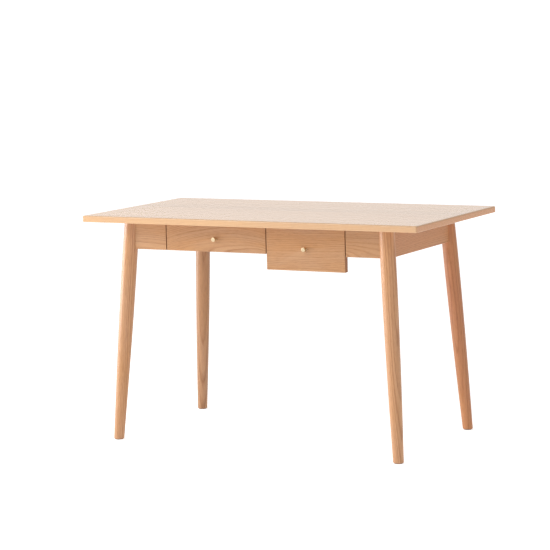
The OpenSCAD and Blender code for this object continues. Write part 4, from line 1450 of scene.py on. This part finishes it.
class DESK_OT_drawer_fasteners(bpy.types.Operator):
    """Build the screws of the drawers and finish their dowels and knob screws"""

    bl_idname = "desk.drawer_fasteners"
    bl_label = "Drawer fasteners"

    def execute(self, context):
        look = metal()
        for number, drawer in enumerate(("left_drawer", "right_drawer")):
            screws(f"zinc_{drawer}_screws", f"{drawer}_screws", look.screw,
                   DRAWER_SCREW_PITCH)
            dowel_oak = wood(f"Oak dowel, {drawer.replace('_', ' ')}", oak_recipe(), X_AXIS,
                             middle_of(f"{drawer}_dowels"), (0.0, 0.03, 0.03), tone=0.96,
                             luck=5.5 * number)
            for node, finish in ((f"{drawer}_dowels", dowel_oak),
                                 (f"{drawer}_knob_screw", steel())):
                kept = frame["nodes"][node]
                kept.data.materials.clear()
                kept.data.materials.append(finish)
        return {"FINISHED"}


class DESK_OT_stage(bpy.types.Operator):
    """Set up the floor, the light and the camera"""

    bl_idname = "desk.stage"
    bl_label = "Stage"

    def execute(self, context):
        look = context.scene.desk_studio
        scene = context.scene
        scene.view_settings.view_transform = "Standard"
        self.lay_floor(scene, look)
        self.light_room(scene, look)
        self.stand_camera(scene, look)
        return {"FINISHED"}

    def lay_floor(self, scene, look):
        """A pale seamless floor that bounces light up, as a lit paper sweep does."""
        # Far enough to meet the surroundings out of sight
        reach = 60.0
        mesh = bpy.data.meshes.new("floor")
        mesh.from_pydata([(-reach, -reach, 0), (reach, -reach, 0), (reach, reach, 0),
                          (-reach, reach, 0)], [], [(0, 1, 2, 3)])
        floor = bpy.data.objects.new("floor", mesh)
        scene.collection.objects.link(floor)
        material, _, shader = blank("Paper sweep")
        shader.inputs["Base Color"].default_value = opaque(look.floor)
        shader.inputs["Roughness"].default_value = 0.9
        shader.inputs["Specular IOR Level"].default_value = 0.1
        shader.inputs["Emission Color"].default_value = (1, 1, 1, 1)
        shader.inputs["Emission Strength"].default_value = look.floor_glow
        mesh.materials.append(material)

    def light_room(self, scene, look):
        """White surroundings brighter behind the desk, and two large soft lights."""
        world = bpy.data.worlds.new("Studio")
        world.use_nodes = True
        tree = world.node_tree
        tree.nodes.clear()
        where = add(tree, "ShaderNodeTexCoord").outputs["Generated"]
        parts = add(tree, "ShaderNodeSeparateXYZ", {"Vector": where})
        level = add(tree, "ShaderNodeMapRange", {
            "Value": parts.outputs["Z"], "From Min": 0.0, "From Max": 0.9,
            "To Min": look.around, "To Max": look.zenith})
        backwards = Vector((-0.42, 0.9, 0.12)).normalized()
        behind = add(tree, "ShaderNodeVectorMath", {0: where, 1: backwards},
                     operation="DOT_PRODUCT")
        glow = add(tree, "ShaderNodeMapRange", {
            "Value": behind.outputs["Value"], "From Min": 0.6, "From Max": 0.95,
            "To Min": 0.0, "To Max": look.backdrop}, interpolation_type="SMOOTHSTEP")
        both = add(tree, "ShaderNodeMath", {0: level.outputs["Result"],
                                            1: glow.outputs["Result"]}, operation="ADD")
        sky = add(tree, "ShaderNodeBackground", {"Color": (1, 1, 1, 1), "Strength": both})
        add(tree, "ShaderNodeOutputWorld", {"Surface": sky})
        scene.world = world
        heart = Vector((0, 0, 0.5))
        # Each lamp's place, its width and height, and its power
        lamps = (("key", (-1.9, -2.9, 2.9), (2.8, 2.0), look.key),
                 ("side", (-4.3, -1.3, 0.6), (4.0, 0.85), look.side))
        for name, place, spread, power in lamps:
            lamp = bpy.data.lights.new(name, "AREA")
            lamp.shape = "RECTANGLE"
            lamp.size, lamp.size_y = spread
            lamp.energy = power
            light = bpy.data.objects.new(name, lamp)
            light.location = place
            way = heart - Vector(place)
            light.rotation_euler = way.to_track_quat("-Z", "Y").to_euler()
            light.visible_camera = False
            scene.collection.objects.link(light)

    def stand_camera(self, scene, look):
        """The camera looks slightly down at the desk from the front right."""
        yaw, pitch, roll = look.aim
        ahead = Vector((-math.sin(yaw) * math.cos(pitch), math.cos(yaw) * math.cos(pitch),
                        -math.sin(pitch)))
        right = Vector((math.cos(yaw), math.sin(yaw), 0))
        up = right.cross(ahead)
        across = right * math.cos(roll) + up * math.sin(roll)
        above = up * math.cos(roll) - right * math.sin(roll)
        lens = bpy.data.cameras.new("camera")
        lens.lens = look.lens
        lens.clip_end = 500
        camera = bpy.data.objects.new("camera", lens)
        turn = Matrix((across, above, -ahead)).transposed()
        camera.matrix_world = Matrix.Translation(look.eye) @ turn.to_4x4()
        scene.collection.objects.link(camera)
        scene.camera = camera


class DESK_PT_desk(bpy.types.Panel):
    """Lists the steps of the desk and their sizes and colours"""

    bl_idname = "DESK_PT_desk"
    bl_label = "Writing desk"
    bl_space_type = "VIEW_3D"
    bl_region_type = "UI"
    bl_category = "Desk"

    def draw(self, context):
        for operator in OPERATORS:
            self.layout.operator(operator.bl_idname)
        for name, group in GROUPS.items():
            box = self.layout.box()
            box.label(text=group.__doc__)
            for prop in group.__annotations__:
                box.prop(getattr(context.scene, name), prop)


GROUPS = {
    "desk_timber": DeskTimber,
    "desk_top": DeskTop,
    "desk_legs": DeskLegs,
    "desk_metal": DeskMetal,
    "desk_studio": DeskStudio,
}
OPERATORS = (
    DESK_OT_tabletop,
    DESK_OT_legs,
    DESK_OT_foot_pads,
    DESK_OT_apron,
    DESK_OT_inner_rails,
    DESK_OT_corner_blocks,
    DESK_OT_tabletop_buttons,
    DESK_OT_runners,
    DESK_OT_frame_fasteners,
    DESK_OT_bumpers,
    DESK_OT_drawer_fronts,
    DESK_OT_drawer_boxes,
    DESK_OT_knobs,
    DESK_OT_drawer_fasteners,
    DESK_OT_stage,
)


def register():
    for made in (*GROUPS.values(), *OPERATORS, DESK_PT_desk):
        bpy.utils.register_class(made)
    for name, group in GROUPS.items():
        setattr(bpy.types.Scene, name, bpy.props.PointerProperty(type=group))


def unregister():
    for name in GROUPS:
        delattr(bpy.types.Scene, name)
    for made in reversed((*GROUPS.values(), *OPERATORS, DESK_PT_desk)):
        bpy.utils.unregister_class(made)


def main():
    register()
    for operator in OPERATORS:
        group, name = operator.bl_idname.split(".")
        getattr(getattr(bpy.ops, group), name)()


if __name__ == "__main__":
    main()
